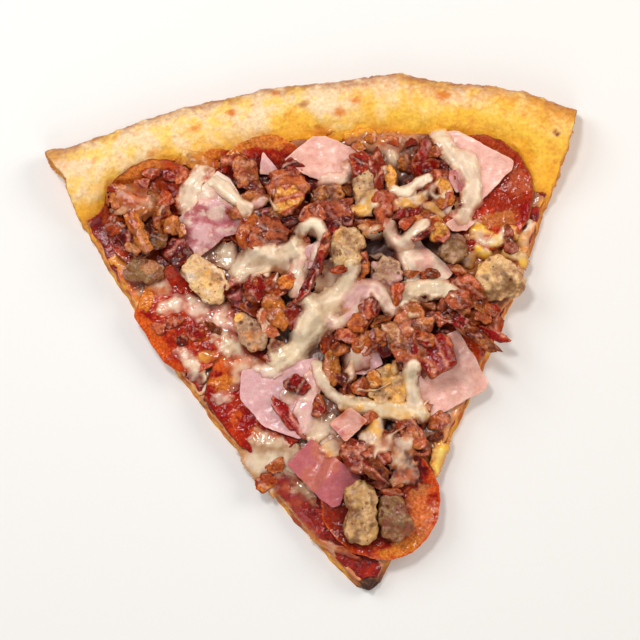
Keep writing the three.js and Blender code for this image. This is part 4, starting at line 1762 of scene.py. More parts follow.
@dataclass
class Scatter:
    """Small bits strewn at random inside round places, to fill the gaps."""

    name: str
    count: int
    spots: tuple[Spot, ...]
    tints: tuple[Tint, ...]
    size: tuple[float, float] = (3.4, 6.4)
    thick: tuple[float, float] = (1.6, 2.8)
    seed: int = 0
    gaps: tuple[Spot, ...] = ()
    maker: Bacon = field(default_factory=lambda: Bacon(spokes=12, rows=4, under=2, grow=1.4))

    def build(self, stack: Stack, material: Material) -> None:
        """Writes the bits, each at a random place, turn and tilt, low and black where there is a shaded gap,
        which is painted shade.

        Args:
            stack: What it rests on.
            material: Its material.
        """
        rng = np.random.default_rng(4000 + self.seed)
        area = np.array([spot.radius ** 2 * spot.strength for spot in self.spots])
        bits = []
        for _ in range(self.count):
            spot = self.spots[rng.choice(len(self.spots), p=area / area.sum())]
            angle, far = rng.uniform(0, 2 * math.pi), spot.radius * math.sqrt(rng.uniform())
            length = rng.uniform(*self.size)
            width, turn = length * rng.uniform(0.5, 0.95), rng.uniform(0, 360)
            main, second = (self.tints[rng.integers(len(self.tints))] for _ in range(2))
            thick, tilt, roll = rng.uniform(*self.thick), rng.uniform(-24, 24), rng.uniform(-24, 24)
            x, y = spot.x + far * math.cos(angle), spot.y + far * math.sin(angle)
            bits.append(Bit(x, y, length, width, turn, main, second, thick, tilt, roll))
        places = np.array([(bit.x, bit.y) for bit in bits])
        # Bits in the shaded gaps turn black, maroon and thin: painted shade.
        low = spots_value(places, self.gaps) > 0.5
        bits = [replace(bit, main=T.BLACK, second=T.MAROON, thick=1.2) if down else bit
                for bit, down in zip(bits, low)]
        self.maker.build(self.name, bits, 2000 + self.seed, stack, material)


class Run:
    """Something that melted: it tells how high it stands over what is below, and in what colours."""

    main: Tint
    second: Tint
    reach: float = 0.3
    soften: float = 1.1

    def box(self) -> tuple[float, float, float, float]:
        """The least x and y and the greatest x and y that it may cover."""
        raise NotImplementedError

    def level(self, xy: Array, seed: int) -> Array:
        """Height above what is below at each place, negative outside.

        Args:
            xy: Places, one row each.
            seed: Picks the noise.

        Returns:
            One height per place, in millimetres.
        """
        raise NotImplementedError

    def tone(self, points: Array, seed: int) -> Array:
        """Its colours: two tints, mixed in soft patches.

        Args:
            points: Places, one row of three each.
            seed: Picks the noise.

        Returns:
            One colour per place.
        """
        share = fade(-0.4, 0.6, Noise(seed + 96).layered(points, 5, 3))
        return mixed(self.main, self.second, share)


@dataclass(frozen=True)
class Film(Run):
    """A thin run of cheese: an oval with a ragged border, highest in the middle."""

    x: float
    y: float
    length: float
    width: float
    turn: float
    main: Tint = T.CREAM
    second: Tint = T.IVORY
    thickness: float = 1.0
    ragged: float = 0.4
    soften: float = 1.3

    def box(self) -> tuple[float, float, float, float]:
        """The least and greatest x and y."""
        far = 0.75 * max(self.length, self.width) + 2
        return self.x - far, self.y - far, self.x + far, self.y + far

    def level(self, xy: Array, seed: int) -> Array:
        """The thickness times 1 - e squared, where e is the oval's radius plus noise.

        Args:
            xy: Places, one row each.
            seed: Picks the noise.

        Returns:
            One height per place, in millimetres.
        """
        away = oval(xy, self.x, self.y, 1.1 * self.length, 1.1 * self.width, self.turn)
        ragged = self.ragged * Noise(seed).layered(ground(xy, 2.9 * seed), 4.5, 3, 0.55)
        return self.thickness * (1 - (away + ragged) ** 2)


@dataclass(frozen=True)
class Rope:
    """A melted shred: a smooth tube with an oval section that sags over what lies below."""

    path: tuple[tuple[float, float], ...]
    width: float
    main: Tint = T.CREAM
    second: Tint = T.IVORY
    flat: float = 0.32
    sink: float = 0.8
    rings: int = 76
    spokes: int = 20

    def curve(self, t: Array) -> Array:
        """Places along the curve: at each knot it runs parallel to the line between its neighbours.

        Args:
            t: Shares of the way along, from 0 to 1.

        Returns:
            One place per share.
        """
        knots = np.array(self.path, dtype=float)
        ends = np.concatenate([[2 * knots[0] - knots[1]], knots, [2 * knots[-1] - knots[-2]]])
        t = t * (len(knots) - 1.0001)
        k = t.astype(int)
        f = (t - k)[:, None]
        a, b, c, d = (ends[k + n] for n in range(4))
        return 0.5 * (2 * b + (c - a) * f + (2 * a - 5 * b + 4 * c - d) * f ** 2
                      + (3 * b - a - 3 * c + d) * f ** 3)

    def surface(self, stack: Stack, seed: int) -> Surface:
        """The tube: its half width wanders with noise and closes at both ends like a dome.

        At a share t of the length, the dome is 1 - |2t - 1| to a power that grows with the length over
        the width, all to the power 0.55; the height is what lies below, averaged along the tube.

        Args:
            stack: What it rests on.
            seed: Picks how it wanders.

        Returns:
            The closed surface with its colours.
        """
        t = 0.5 - 0.5 * np.cos(np.linspace(0, math.pi, self.rings))
        line = self.curve(t)
        ahead = unit(np.gradient(line, axis=0))
        length = np.linalg.norm(np.diff(line, axis=0), axis=1).sum()
        along = np.column_stack([t * length, np.zeros_like(t), np.full_like(t, 6.3 * seed)])
        aside = np.stack([-ahead[:, 1], ahead[:, 0]], -1)
        line = line + 0.5 * Noise(seed + 3).layered(along, 6.0, 2)[:, None] * aside
        ends = 1 - np.abs(2 * t - 1)
        dome = np.clip(1 - (1 - ends) ** max(1.1 * length / self.width, 2), 0, 1) ** 0.55
        half = 0.46 * self.width * (1 + 0.55 * Noise(seed).layered(along, 6.0, 2)) * dome
        rest = stack.rest(line[:, 0], line[:, 1], 0.5, 1.3)
        taps = 14
        rest = np.convolve(np.pad(rest, taps, mode="edge"), bell(taps, 5.0), mode="valid")
        swing = np.linspace(0, 2 * math.pi, self.spokes, endpoint=False)[None, :]
        x = line[:, :1] - ahead[:, 1:] * half[:, None] * np.cos(swing)
        y = line[:, 1:] + ahead[:, :1] * half[:, None] * np.cos(swing)
        dive = self.sink * fade(0.0, 0.3, ends)[:, None] - self.sink
        tall = self.flat * half * (0.4 + 0.6 * fade(0.0, 0.5, ends))
        z = rest[:, None] + dive + tall[:, None] * (0.3 + np.sin(swing))
        border = np.maximum(np.abs(np.cos(swing)), 1 - fade(0.0, 0.3, ends)[:, None])
        shape = grid_surface(np.stack([x, y, z], -1), wrap=True, flip=True, border=border).welded()
        p = shape.points
        shape = shape.pushed(0.3 * Noise(seed + 4).layered(p, 6.5, 2))
        share = fade(-0.4, 0.6, Noise(seed + 5).layered(p, 5, 3))
        thin = fade(0.6, 1.0, shape.values["border"] + 0.15 * Noise(seed + 7).layered(p, 2, 2))
        return shape.tinted(coated(
            mixed(self.main, self.second, share),
            (T.AMBER, 0.3 * fade(0.25, 0.8, Noise(seed + 6).layered(p, 3, 3))),
            (stack.soft_colour(p[:, 0], p[:, 1]), 0.08 + 0.62 * thin),
        ))


@dataclass(frozen=True)
class Puddle(Run):
    """The thin cheese that ran out over and round a shred and joins it to what lies beside it."""

    rope: Rope
    thickness: float = 0.5
    drawn: float = 0.2
    spread: float = 0.54
    reach: float = 0.5
    soften: float = 0.8

    @property
    def main(self) -> Tint:
        """The shred's first tint."""
        return self.rope.main

    @property
    def second(self) -> Tint:
        """The shred's second tint."""
        return self.rope.second

    def box(self) -> tuple[float, float, float, float]:
        """The least and greatest x and y, a little beyond the shred's knots.

        Returns:
            The least x and y, then the greatest.
        """
        knots = np.array(self.rope.path)
        far = 1.5 * self.rope.width + 2
        low, high = knots.min(0) - far, knots.max(0) + far
        return low[0], low[1], high[0], high[1]

    def beside(self, xy: Array, seed: int) -> tuple[Array, Array]:
        """Measures places against the shred's curve.

        Args:
            xy: Places.
            seed: Picks the stretch lines.

        Returns:
            The distance to the curve, and the stretch lines: noise that is drawn out along it.
        """
        line = self.rope.curve(np.linspace(0, 1, 50))
        offsets = xy[:, None] - line[None]
        far = np.linalg.norm(offsets, axis=2)
        nearest = far.argmin(1)
        rows = np.arange(len(xy))
        ahead = unit(np.gradient(line, axis=0)[nearest])
        side = offsets[rows, nearest, 0] * ahead[:, 1] - offsets[rows, nearest, 1] * ahead[:, 0]
        along = np.concatenate([[0], np.cumsum(np.linalg.norm(np.diff(line, axis=0), axis=1))])[nearest]
        drawn = np.column_stack([along / 5, side, np.full(len(xy), 5.9 * seed)])
        return far[rows, nearest], Noise(seed + 2).layered(drawn, 1.7, 2)

    def level(self, xy: Array, seed: int) -> Array:
        """The thickness times 1 - e squared, e being the distance over the spread, plus noise.

        Args:
            xy: Places, one row each.
            seed: Picks the noise.

        Returns:
            One height per place, in millimetres.
        """
        away, lines = self.beside(xy, seed)
        ragged = Noise(seed).layered(ground(xy, 4.7 * seed), 5.0, 3)
        e = away / (self.spread * self.rope.width) + 0.5 * ragged
        return self.thickness * (1 - np.maximum(e, 0) ** 2) + self.drawn * lines * fade(1.0, 0.6, e)

    def tone(self, points: Array, seed: int) -> Array:
        """The shred's colours, lighter and darker along the stretch lines.

        Args:
            points: Places, one row of three each.
            seed: Picks the noise.

        Returns:
            One colour per place.
        """
        lines = self.beside(points[:, :2], seed)[1]
        return super().tone(points, seed) * (1 + 0.16 * np.clip(lines, -1, 1))[:, None]


def write_ropes(name: str, ropes: Sequence[Rope], seed: int, stack: Stack, material: Material,
                replaces: Sequence[str] = ()) -> None:
    """Writes a piece made of several melted shreds, each lying over the ones before.

    Args:
        name: The piece's name.
        ropes: The shreds, lowest first.
        seed: Picks how they wander.
        stack: What they rest on.
        material: Their material.
        replaces: The nodes that the piece stands in for.
    """
    shapes = []
    for number, rope in enumerate(ropes):
        shapes.append(rope.surface(stack, seed + 11 * number))
        stack.lay(shapes[-1])
    write_piece(name, joined(shapes), material, replaces)


@dataclass(frozen=True)
class Web(Run):
    """A net of fine melted shreds over round places: it stands where a smooth noise crosses zero."""

    spots: tuple[Spot, ...]
    main: Tint = T.CREAM
    second: Tint = T.IVORY
    size: float = 11.0
    band: float = 0.13
    thickness: float = 0.8
    gaps: tuple[Spot, ...] = ()
    reach: float = 0.5
    soften: float = 1.2

    def box(self) -> tuple[float, float, float, float]:
        """The least and greatest x and y."""
        edges = np.array([(s.x - 1.3 * s.radius, s.y - 1.3 * s.radius, s.x + 1.3 * s.radius,
                           s.y + 1.3 * s.radius) for s in self.spots])
        return edges[:, 0].min(), edges[:, 1].min(), edges[:, 2].max(), edges[:, 3].max()

    def level(self, xy: Array, seed: int) -> Array:
        """The thickness times 1 - |noise| / band, less wherever a second noise is low.

        Args:
            xy: Places, one row each.
            seed: Picks the noise.

        Returns:
            One height per place, in millimetres.
        """
        flat = ground(xy, 1.9 * seed)
        net = 1 - np.abs(Noise(seed).layered(flat, self.size, 2)) / self.band
        patchy = fade(-0.25, 0.3, Noise(seed + 5).layered(flat, 12, 2))
        inside = np.clip(spots_value(xy, self.spots), 0, 1)
        inside = inside * (1 - np.clip(spots_value(xy, self.gaps), 0, 1))
        return self.thickness * np.minimum(net, 1) - 1.6 * (1 - patchy * inside)


def closed_field(x: Array, y: Array, top: Array, mask: Array, depth: float) -> tuple[Surface, Array]:
    """A slab under a height field, over the cells whose four corners are all in the mask.

    Args:
        x: Places along X, shape (rows, columns).
        y: Places along Y.
        top: Heights.
        mask: Which places belong to the slab.
        depth: Its thickness.

    Returns:
        The closed surface, and which of the grid's places each of its points came from.
    """
    index = np.arange(mask.size).reshape(mask.shape)
    a, b, c, d = index[:-1, :-1], index[:-1, 1:], index[1:, 1:], index[1:, :-1]
    whole = mask[:-1, :-1] & mask[:-1, 1:] & mask[1:, 1:] & mask[1:, :-1]
    quads = np.stack([a[whole], b[whole], c[whole], d[whole]], -1)
    used, local = np.unique(quads, return_inverse=True)
    quads = local.reshape(-1, 4)
    count = len(used)
    cap = np.concatenate([quads[:, [0, 1, 2]], quads[:, [0, 2, 3]]])
    edges = np.concatenate([quads[:, [n, (n + 1) % 4]] for n in range(4)])
    alone = ~np.isin(edges[:, 0] * count + edges[:, 1], edges[:, 1] * count + edges[:, 0])
    i, j = edges[alone, 0], edges[alone, 1]
    walls = np.concatenate([np.stack([i, i + count, j + count], -1), np.stack([i, j + count, j], -1)])
    upper = np.stack([x.ravel()[used], y.ravel()[used], top.ravel()[used]], -1)
    faces = np.concatenate([cap, cap[:, ::-1] + count, walls])
    return Surface(np.concatenate([upper, upper - [0, 0, depth]]), faces), np.concatenate([used, used])


@dataclass
class Melt:
    """Melted cheese: its runs flow into one another and sink into what is below at their borders."""

    name: str
    seed: int
    runs: tuple[Run, ...]
    cell: float = 0.42
    fall: float = 3.5
    depth: float = 0.9
    clear: float = 1.3
    merge: float = 0.35
    ragged: float = 0.5
    oily: float = 0.22
    browned: float = 1.0

    def build(self, stack: Stack, material: Material) -> None:
        """Works out one height field for all the runs and writes it as a closed piece.

        Each run's height is what is below it, softened, plus its level; below zero a level counts
        several times, so that borders dive. Heights are joined by merge times the logarithm of the sum
        of exp(height / merge), and colours are weighed by the same exponentials.

        Args:
            stack: What it rests on.
            material: Its material.
        """
        boxes = np.array([run.box() for run in self.runs])
        low, high = boxes[:, :2].min(0) - 2, boxes[:, 2:].max(0) + 2
        x, y = np.meshgrid(np.arange(low[0], high[0], self.cell), np.arange(low[1], high[1], self.cell))
        total, tint, best = np.zeros(x.shape), np.zeros((*x.shape, 3)), np.full(x.shape, -9.0)
        for number, (run, box) in enumerate(zip(self.runs, boxes)):
            seed = self.seed + 3 * number
            cols = slice(int((box[0] - low[0]) / self.cell), int((box[2] - low[0]) / self.cell) + 2)
            rows = slice(int((box[1] - low[1]) / self.cell), int((box[3] - low[1]) / self.cell) + 2)
            wx, wy = x[rows, cols], y[rows, cols]
            xy = np.stack([wx, wy], -1).reshape(-1, 2)
            level = np.minimum(run.level(xy, seed), 0.8 * (OUTLINE.past_cuts(xy) + 0.7)).reshape(wx.shape)
            height = stack.rest(wx, wy, run.reach, run.soften) + np.where(level > 0, level, self.fall * level)
            weight = np.exp(np.clip(height, -20, 60) / self.merge)
            tone = run.tone(np.column_stack([xy, height.ravel()]), seed).reshape(*wx.shape, 3)
            total[rows, cols] += weight
            tint[rows, cols] += weight[..., None] * tone
            best[rows, cols] = np.maximum(best[rows, cols], level)
        top = self.merge * np.log(np.maximum(total, 1e-20))
        under = stack.rest(x, y, 0.0, 0.0)
        mask = (best > -0.5) & (top > under - 1.2)
        flat = ground(np.stack([x, y], -1))
        top = top + 0.12 * Noise(self.seed + 7).layered(flat, 2.8, 2).reshape(x.shape)
        surface, used = closed_field(x, y, top, mask, self.depth)
        tint = tint.reshape(-1, 3)[used] / total.reshape(-1, 1)[used]
        surface = surface.tinted(self.cooked(surface.points, tint, best.ravel()[used], stack))
        stack.lay(surface)
        write_piece(self.name, surface, material)

    def cooked(self, points: Array, tint: Array, thick: Array, stack: Stack) -> Array:
        """Colours with oil on them, with what shows through where it is thin, and browned borders.

        Args:
            points: Places.
            tint: The runs' own colours there.
            thick: How thick the cheese is there.
            stack: What shows through.

        Returns:
            The new colours.
        """
        oil = fade(0.3, 0.8, Noise(self.seed + 8).layered(points, 3.4, 3))
        ragged = self.ragged * Noise(self.seed + 9).layered(points, 2.4, 3)
        thin = 1 - fade(-0.1, self.clear, thick + ragged)
        below = stack.soft_colour(points[:, 0], points[:, 1])
        tint = coated(tint, (T.AMBER, self.oily * oil), (below, 0.04 + 0.82 * thin))
        return tint * (1 - self.browned * fade(0.4, 0.0, thick)[:, None] * np.array([0.1, 0.24, 0.4]))


@dataclass(frozen=True)
class PaintedShade:
    """Painted shade, dark and warm, in the low places of everything laid, and a painted highlight on the
    crests, once all is laid.
    """

    spread: float = 2.2
    strength: float = 0.75
    faint: float = 0.25
    # painted highlight: how much lighter the points above the average height round them become
    lift: float = 0.15
    darkest: Colour = (0.035, 0.004, 0.002)
    # pieces that take only the faint share of the painted shade
    lightly_shaded: tuple[str, ...] = ("ham", "cheese_strand", "cheese_shreds", "cheese_puddles")

    def paint_shade(self, stack: Stack) -> None:
        """Paints shade on each topping's points by how far they lie below the average height round them."""
        for piece in list(bpy.context.scene.objects):
            if piece.type != "MESH" or "tint" not in piece.data.attributes or piece.name.startswith("crust"):
                continue
            self._darken(piece.data, stack, self.faint if piece.name.startswith(self.lightly_shaded) else 1.0)

    def _darken(self, mesh: bpy.types.Mesh, stack: Stack, share: float) -> None:
        """Multiplies the tint by a warm painted shade that grows from 0.2 to 2.6 mm of depth, and lightens
        points above the average height as a painted highlight.

        Args:
            mesh: The mesh of a piece.
            stack: Everything laid.
            share: How much of the shade it takes.
        """
        points = np.empty(3 * len(mesh.vertices))
        mesh.vertices.foreach_get("co", points)
        points = points.reshape(-1, 3) / MM
        layer = mesh.attributes["tint"].data
        tint = np.empty(4 * len(points))
        layer.foreach_get("color", tint)
        tint = tint.reshape(-1, 4)
        above = points[:, 2] - stack.rest(points[:, 0], points[:, 1], 0.0, self.spread)
        inside = fade(0.8, 3.0, OUTLINE.past_cuts(points[:, :2]))
        deep = share * self.strength * inside * fade(-0.2, -2.6, above)
        shade = 1 - deep[:, None] * np.array([0.66, 0.93, 1.0])
        # painted highlight: points above the average height round them are made lighter
        tint[:, :3] *= shade * (1 + self.lift * fade(0.0, 1.8, above))[:, None]
        tint[:, :3] = np.maximum(tint[:, :3], self.darkest)
        layer.foreach_set("color", tint.astype(np.float32).ravel())


# ------------------------------------------------------------------ studio

@dataclass(frozen=True)
class Lamp:
    """A square lamp: its place and side in millimetres, its power in watts and its colour."""

    name: str
    place: tuple[float, float, float]
    side: float
    power: float
    colour: Colour

    def build(self, target: Vector) -> None:
        """Adds the lamp.

        Args:
            target: The place it faces, in metres.
        """
        light = bpy.data.lights.new(self.name, "AREA")
        light.shape = "SQUARE"
        light.size = self.side * MM
        light.energy = self.power
        light.color = self.colour
        lamp = bpy.data.objects.new(self.name, light)
        lamp.location = Vector(self.place) * MM
        lamp.rotation_euler = (target - lamp.location).to_track_quat("-Z", "Y").to_euler()
        bpy.context.scene.collection.objects.link(lamp)


@dataclass(frozen=True)
class Studio:
    """A pale floor, three soft boxes, a small bright lamp and a camera almost overhead."""

    aim: tuple[float, float, float] = (2.4, 3.4, 8.0)
    elevation: float = 84.0
    distance: float = 900.0
    frame_width: float = 217.6
    film: float = 36.0
    floor_half: float = 3.0
    floor_colour: Colour = srgb(236, 234, 231)
    sky: Colour = (0.97, 0.98, 1.0)
    sky_strength: float = 0.27
    lamps: tuple[Lamp, ...] = several(
        Lamp,
        ("cool_box", (-560, 380, 660), 480, 3.1, (0.95, 0.98, 1.0)),
        ("spark_box", (-160, 240, 780), 120, 2.4, (1.0, 1.0, 1.0)),
        ("warm_box", (620, 300, 600), 480, 3.2, (1.0, 0.91, 0.8)),
        ("fill_box", (60, -700, 560), 700, 1.8, (1.0, 0.97, 0.94)),
    )

    def build(self) -> None:
        """Makes the floor, the lights, the world and the camera."""
        scene = bpy.context.scene
        scene.view_settings.view_transform = "Standard"
        target = Vector(self.aim) * MM
        lift = math.radians(self.elevation)
        camera = bpy.data.objects.new("camera", bpy.data.cameras.new("camera"))
        camera.location = target + Vector((0, -math.cos(lift), math.sin(lift))) * self.distance * MM
        camera.rotation_euler = (target - camera.location).to_track_quat("-Z", "Y").to_euler()
        camera.data.lens = self.film * self.distance / self.frame_width
        scene.collection.objects.link(camera)
        scene.camera = camera
        self._floor()
        for lamp in self.lamps:
            lamp.build(target)
        world = bpy.data.worlds.new("world")
        world.use_nodes = True
        sky = world.node_tree.nodes["Background"].inputs
        sky["Color"].default_value = (*self.sky, 1)
        sky["Strength"].default_value = self.sky_strength
        scene.world = world

    def _floor(self) -> None:
        """Adds the floor, which belongs to the studio and not to the slice."""
        half = self.floor_half
        corners = [(-half, -half, 0), (half, -half, 0), (half, half, 0), (-half, half, 0)]
        mesh = bpy.data.meshes.new("floor")
        mesh.from_pydata(corners, [], [(0, 1, 2, 3)])
        mesh.materials.append(Finish("pale_table").done(Base_Color=self.floor_colour, Roughness=0.6))
        floor = bpy.data.objects.new("floor", mesh)
        bpy.context.scene.collection.objects.link(floor)


# ------------------------------------------------------------------ the toppings, piece by piece

PILE = several(
    Spot,
    (-16, 44, 12), (4, 42, 15), (24, 44, 15), (40, 46, 10), (-10, 22, 13), (12, 22, 14), (34, 32, 10),
    (6, 2, 14), (26, 2, 14), (44, 6, 9), (22, -18, 12), (8, -20, 7), (24, -38, 10), (36, -40, 6),
    (34, -14, 6),
)

# Places between the toppings that lie in deep shade: bits there are painted black as shade, and the web
# leaves them open.
SHADED_GAPS = several(
    Spot,
    (-3, 49, 3.4), (1, 41, 3.6), (31, 51, 3.4), (20, 28.6, 3), (25, 30.6, 2.6), (-5, 0, 2.6),
    (8.4, -11.6, 3.6), (3.4, -16, 3), (-22, 27.4, 3),
)

# Tints of the fill bits low in the pile: bacon colours, kept dark as painted shade for the depth of the pile.
FILL_TINTS = (T.MAROON, T.BROWN, T.MAROON, T.CRIMSON, T.BLACK, T.BRICK, T.MAROON, T.OLIVE, T.ROSE)

LEFT = several(Spot, (-61, 42, 7), (-54, 35, 5), (-63, 34, 4))

LEFT_TINTS = (T.TAN, T.ROSE, T.APRICOT, T.RUST, T.GREY, T.CRIMSON, T.MAROON)

WEB = several(
    Spot,
    (-18, 38, 10), (2, 36, 12), (22, 34, 14), (40, 42, 10), (-14, 20, 9), (8, 10, 14), (28, 6, 12),
    (44, 12, 9), (20, -14, 11), (24, -38, 10), (34, -26, 7),
)

PEPPERONI = (
    Pepperoni("pepperoni_2", 2, rim=T.AMBER, dabs=(Dab(-37, 59.4, 18, 7, 25, T.AMBER),)),
    Pepperoni("pepperoni_4", 4, rim=T.AMBER, deep=0.75, orange=0.25, dabs=several(
        Dab,
        (-15, 64, 22, 4.6, -3, T.AMBER), (-26.4, 60.6, 11, 5, 42, T.AMBER), (-7, 62, 8, 3.4, -24, T.RUST))),
    Pepperoni("pepperoni_3", 3, rim=T.BROWN, orange=0.65, dabs=several(
        Dab,
        (-59, 54, 22, 8, 24, T.AMBER, 0.9), (-44, 54.4, 15, 7, -28, T.RUST, 0.9),
        (-69.4, 45, 6, 14, -10, T.RUST), (-46, 49, 10, 7, 0, T.CRIMSON, 0.7), (-58, 49, 7, 5, 0, T.ROSE))),
    Pepperoni("pepperoni_5", 5, rim=T.ORANGE, deep=0.45, orange=0.35, dabs=several(
        Dab,
        (-57, 11, 7, 9, 0, T.AMBER), (-55, -2, 22, 5, -52, T.ORANGE))),
    Pepperoni("pepperoni_6", 6, rim=T.BROWN, deep=0.75, orange=0.3, dabs=several(
        Dab,
        (-31, -12, 9, 7, 0, T.ORANGE), (-30, -18, 9, 5, 0, T.AMBER, 0.8))),
    Pepperoni("pepperoni_1", 1, rim=T.CRISP, deep=0.3, orange=0.12, dabs=several(
        Dab,
        (64, 58, 26, 18, -50, T.BRICK, 0.9), (59, 63, 24, 6, -35, T.RUST, 0.9),
        (68, 44, 18, 16, 0, T.BRICK, 0.8), (70, 51, 7, 12, 20, T.ROSE, 0.5),
        (62, 37.6, 18, 5, 10, T.TAN, 0.7), (73, 41, 5, 9, -10, T.CRIMSON))),
    Pepperoni("pepperoni_7", 7, rim=T.ORANGE, orange=0.75),
    Pepperoni("pepperoni_8", 8, rim=T.ORANGE, deep=0.6, cup=2.4, dabs=several(
        Dab,
        (9, -64, 16, 20, 30, T.BRICK), (34, -48, 9, 16, 10, T.MAROON), (36, -63, 10, 18, 0, T.APRICOT, 0.6),
        (29, -74, 13, 5, 20, T.AMBER))),
)

HAM = (
    Ham("ham_1", 21, T.BLUSH, T.PINK),
    Ham("ham_4", 24, T.BLUSH, T.PINK),
    Ham("ham_3", 23, T.BLUSH, T.CREAM),
    Ham("ham_2", 22, T.MAUVE, T.LILAC, streak=0.5, mottle=0.7, dabs=several(
        Dab,
        (-38, 33, 8, 5, 30, T.LILAC), (-46, 38, 5, 6, 0, T.CREAM, 0.7), (-33, 39, 6, 4, 20, T.CREAM, 0.6))),
    Ham("ham_6", 26, T.PINK, T.CREAM, (Dab(32, 22, 5, 17, 15, T.CREAM),)),
    Ham("ham_5", 25, T.LILAC, T.LILAC),
    Ham("ham_9", 29, T.BLUSH, T.PINK, (Dab(43, -6, 9, 7, 0, T.MAUVE, 0.35),)),
    Ham("ham_11", 31, T.MAUVE, T.MAUVE,
        (Dab(5, -42, 9, 12, 40, T.ROSE, 0.6), Dab(0, -50, 10, 9, 40, T.ROSE, 0.5))),
    Ham("ham_8", 28, T.PINK, T.LILAC),
    Ham("ham_7", 27, T.LILAC, T.PINK),
)

SAUSAGE_LOW = (
    Crumble("sausage_2", 42, T.TAN, T.BROWN, height=4.4),
    Crumble("sausage_1", 41, T.OLIVE, T.BROWN, (Dab(-55, 21, 6, 5, 0, T.TAN, 0.7),), height=4.6,
            corners=((-64.5, 20), (-61, 23.4), (-55, 23.8), (-49.6, 21), (-50.6, 17), (-56, 15),
                     (-61.4, 16.6))),
    Crumble("sausage_3", 43, T.SAND, T.IVORY, (Dab(-33, 16, 8, 8, 0, T.GOLD, 0.7),), height=6.2, knob=0.3,
            corners=((-45.4, 20), (-41, 24.4), (-36, 23.6), (-31, 19.6), (-27.8, 15.4), (-30.6, 8.8),
                     (-36, 8.6), (-41, 12.6))),
    Crumble("sausage_7", 47, T.GREY, T.TAN, (Dab(-25.5, 4, 3, 3, 0, T.GOLD),), height=5.6,
            corners=((-26.4, 5.4), (-22, 4.8), (-18, 1.4), (-15, -3), (-16.6, -7.2), (-21, -7.8), (-25, -4),
                     (-26.8, 1))),
    Crumble("sausage_8", 48, T.GREY, T.BROWN, height=4.4),
    Crumble("sausage_4", 44, T.SAND, T.GREY, height=6.2,
            corners=((13.8, 51), (18, 54), (27, 52), (28.6, 48), (25, 43.6), (21, 39.4), (16, 38.8),
                     (13.4, 44))),
    Crumble("sausage_14", 54, T.TAN, T.BROWN, height=5.2),
    Crumble("sausage_5", 45, T.SAND, T.GREY, (Dab(8, 32, 7, 5, 20, T.GOLD, 0.6),), height=6.6,
            corners=((5.4, 30), (9, 34), (14, 33.4), (17.4, 29), (16.8, 23), (13, 20), (8, 21), (5, 25))),
    Crumble("sausage_6", 46, T.GREY, T.LILAC, height=5.4, knob=0.4,
            corners=((19.6, 22.4), (24, 24.4), (29, 22.4), (30, 17), (27.4, 12.6), (22, 12.6), (19.2, 17))),
    Crumble("sausage_9", 49, T.OLIVE, T.GREY, height=5),
    Crumble("sausage_10", 50, T.SAND, T.OLIVE, (Dab(57, 21, 7, 5, 0, T.GOLD, 0.5),), height=6.8),
    Crumble("sausage_11", 51, T.SAND, T.GOLD, (Dab(24, -15, 6, 4, 0, T.OLIVE, 0.5),), height=5.6,
            corners=((18.6, -18), (22, -13.4), (27, -12.6), (31.4, -15.4), (33.4, -20), (30, -25.4),
                     (24, -26.4), (19, -23))),
    Crumble("sausage_12", 52, T.OLIVE, T.BROWN, height=6.2,
            corners=((22, -58), (26, -56.2), (30, -57.2), (32, -62), (33.4, -68), (28, -71.8), (23, -70.4),
                     (21.8, -64))),
    Crumble("sausage_13", 53, T.KHAKI, T.OLIVE, (Dab(18, -60, 3, 16, 0, T.SAND, 0.7),), height=7.4, knob=0.3,
            corners=((11, -54), (15, -51), (20.4, -52.6), (22, -58), (21.4, -63), (21.8, -69), (18, -73),
                     (12, -72), (10.6, -66), (11.6, -61.6), (10.6, -58))),
)

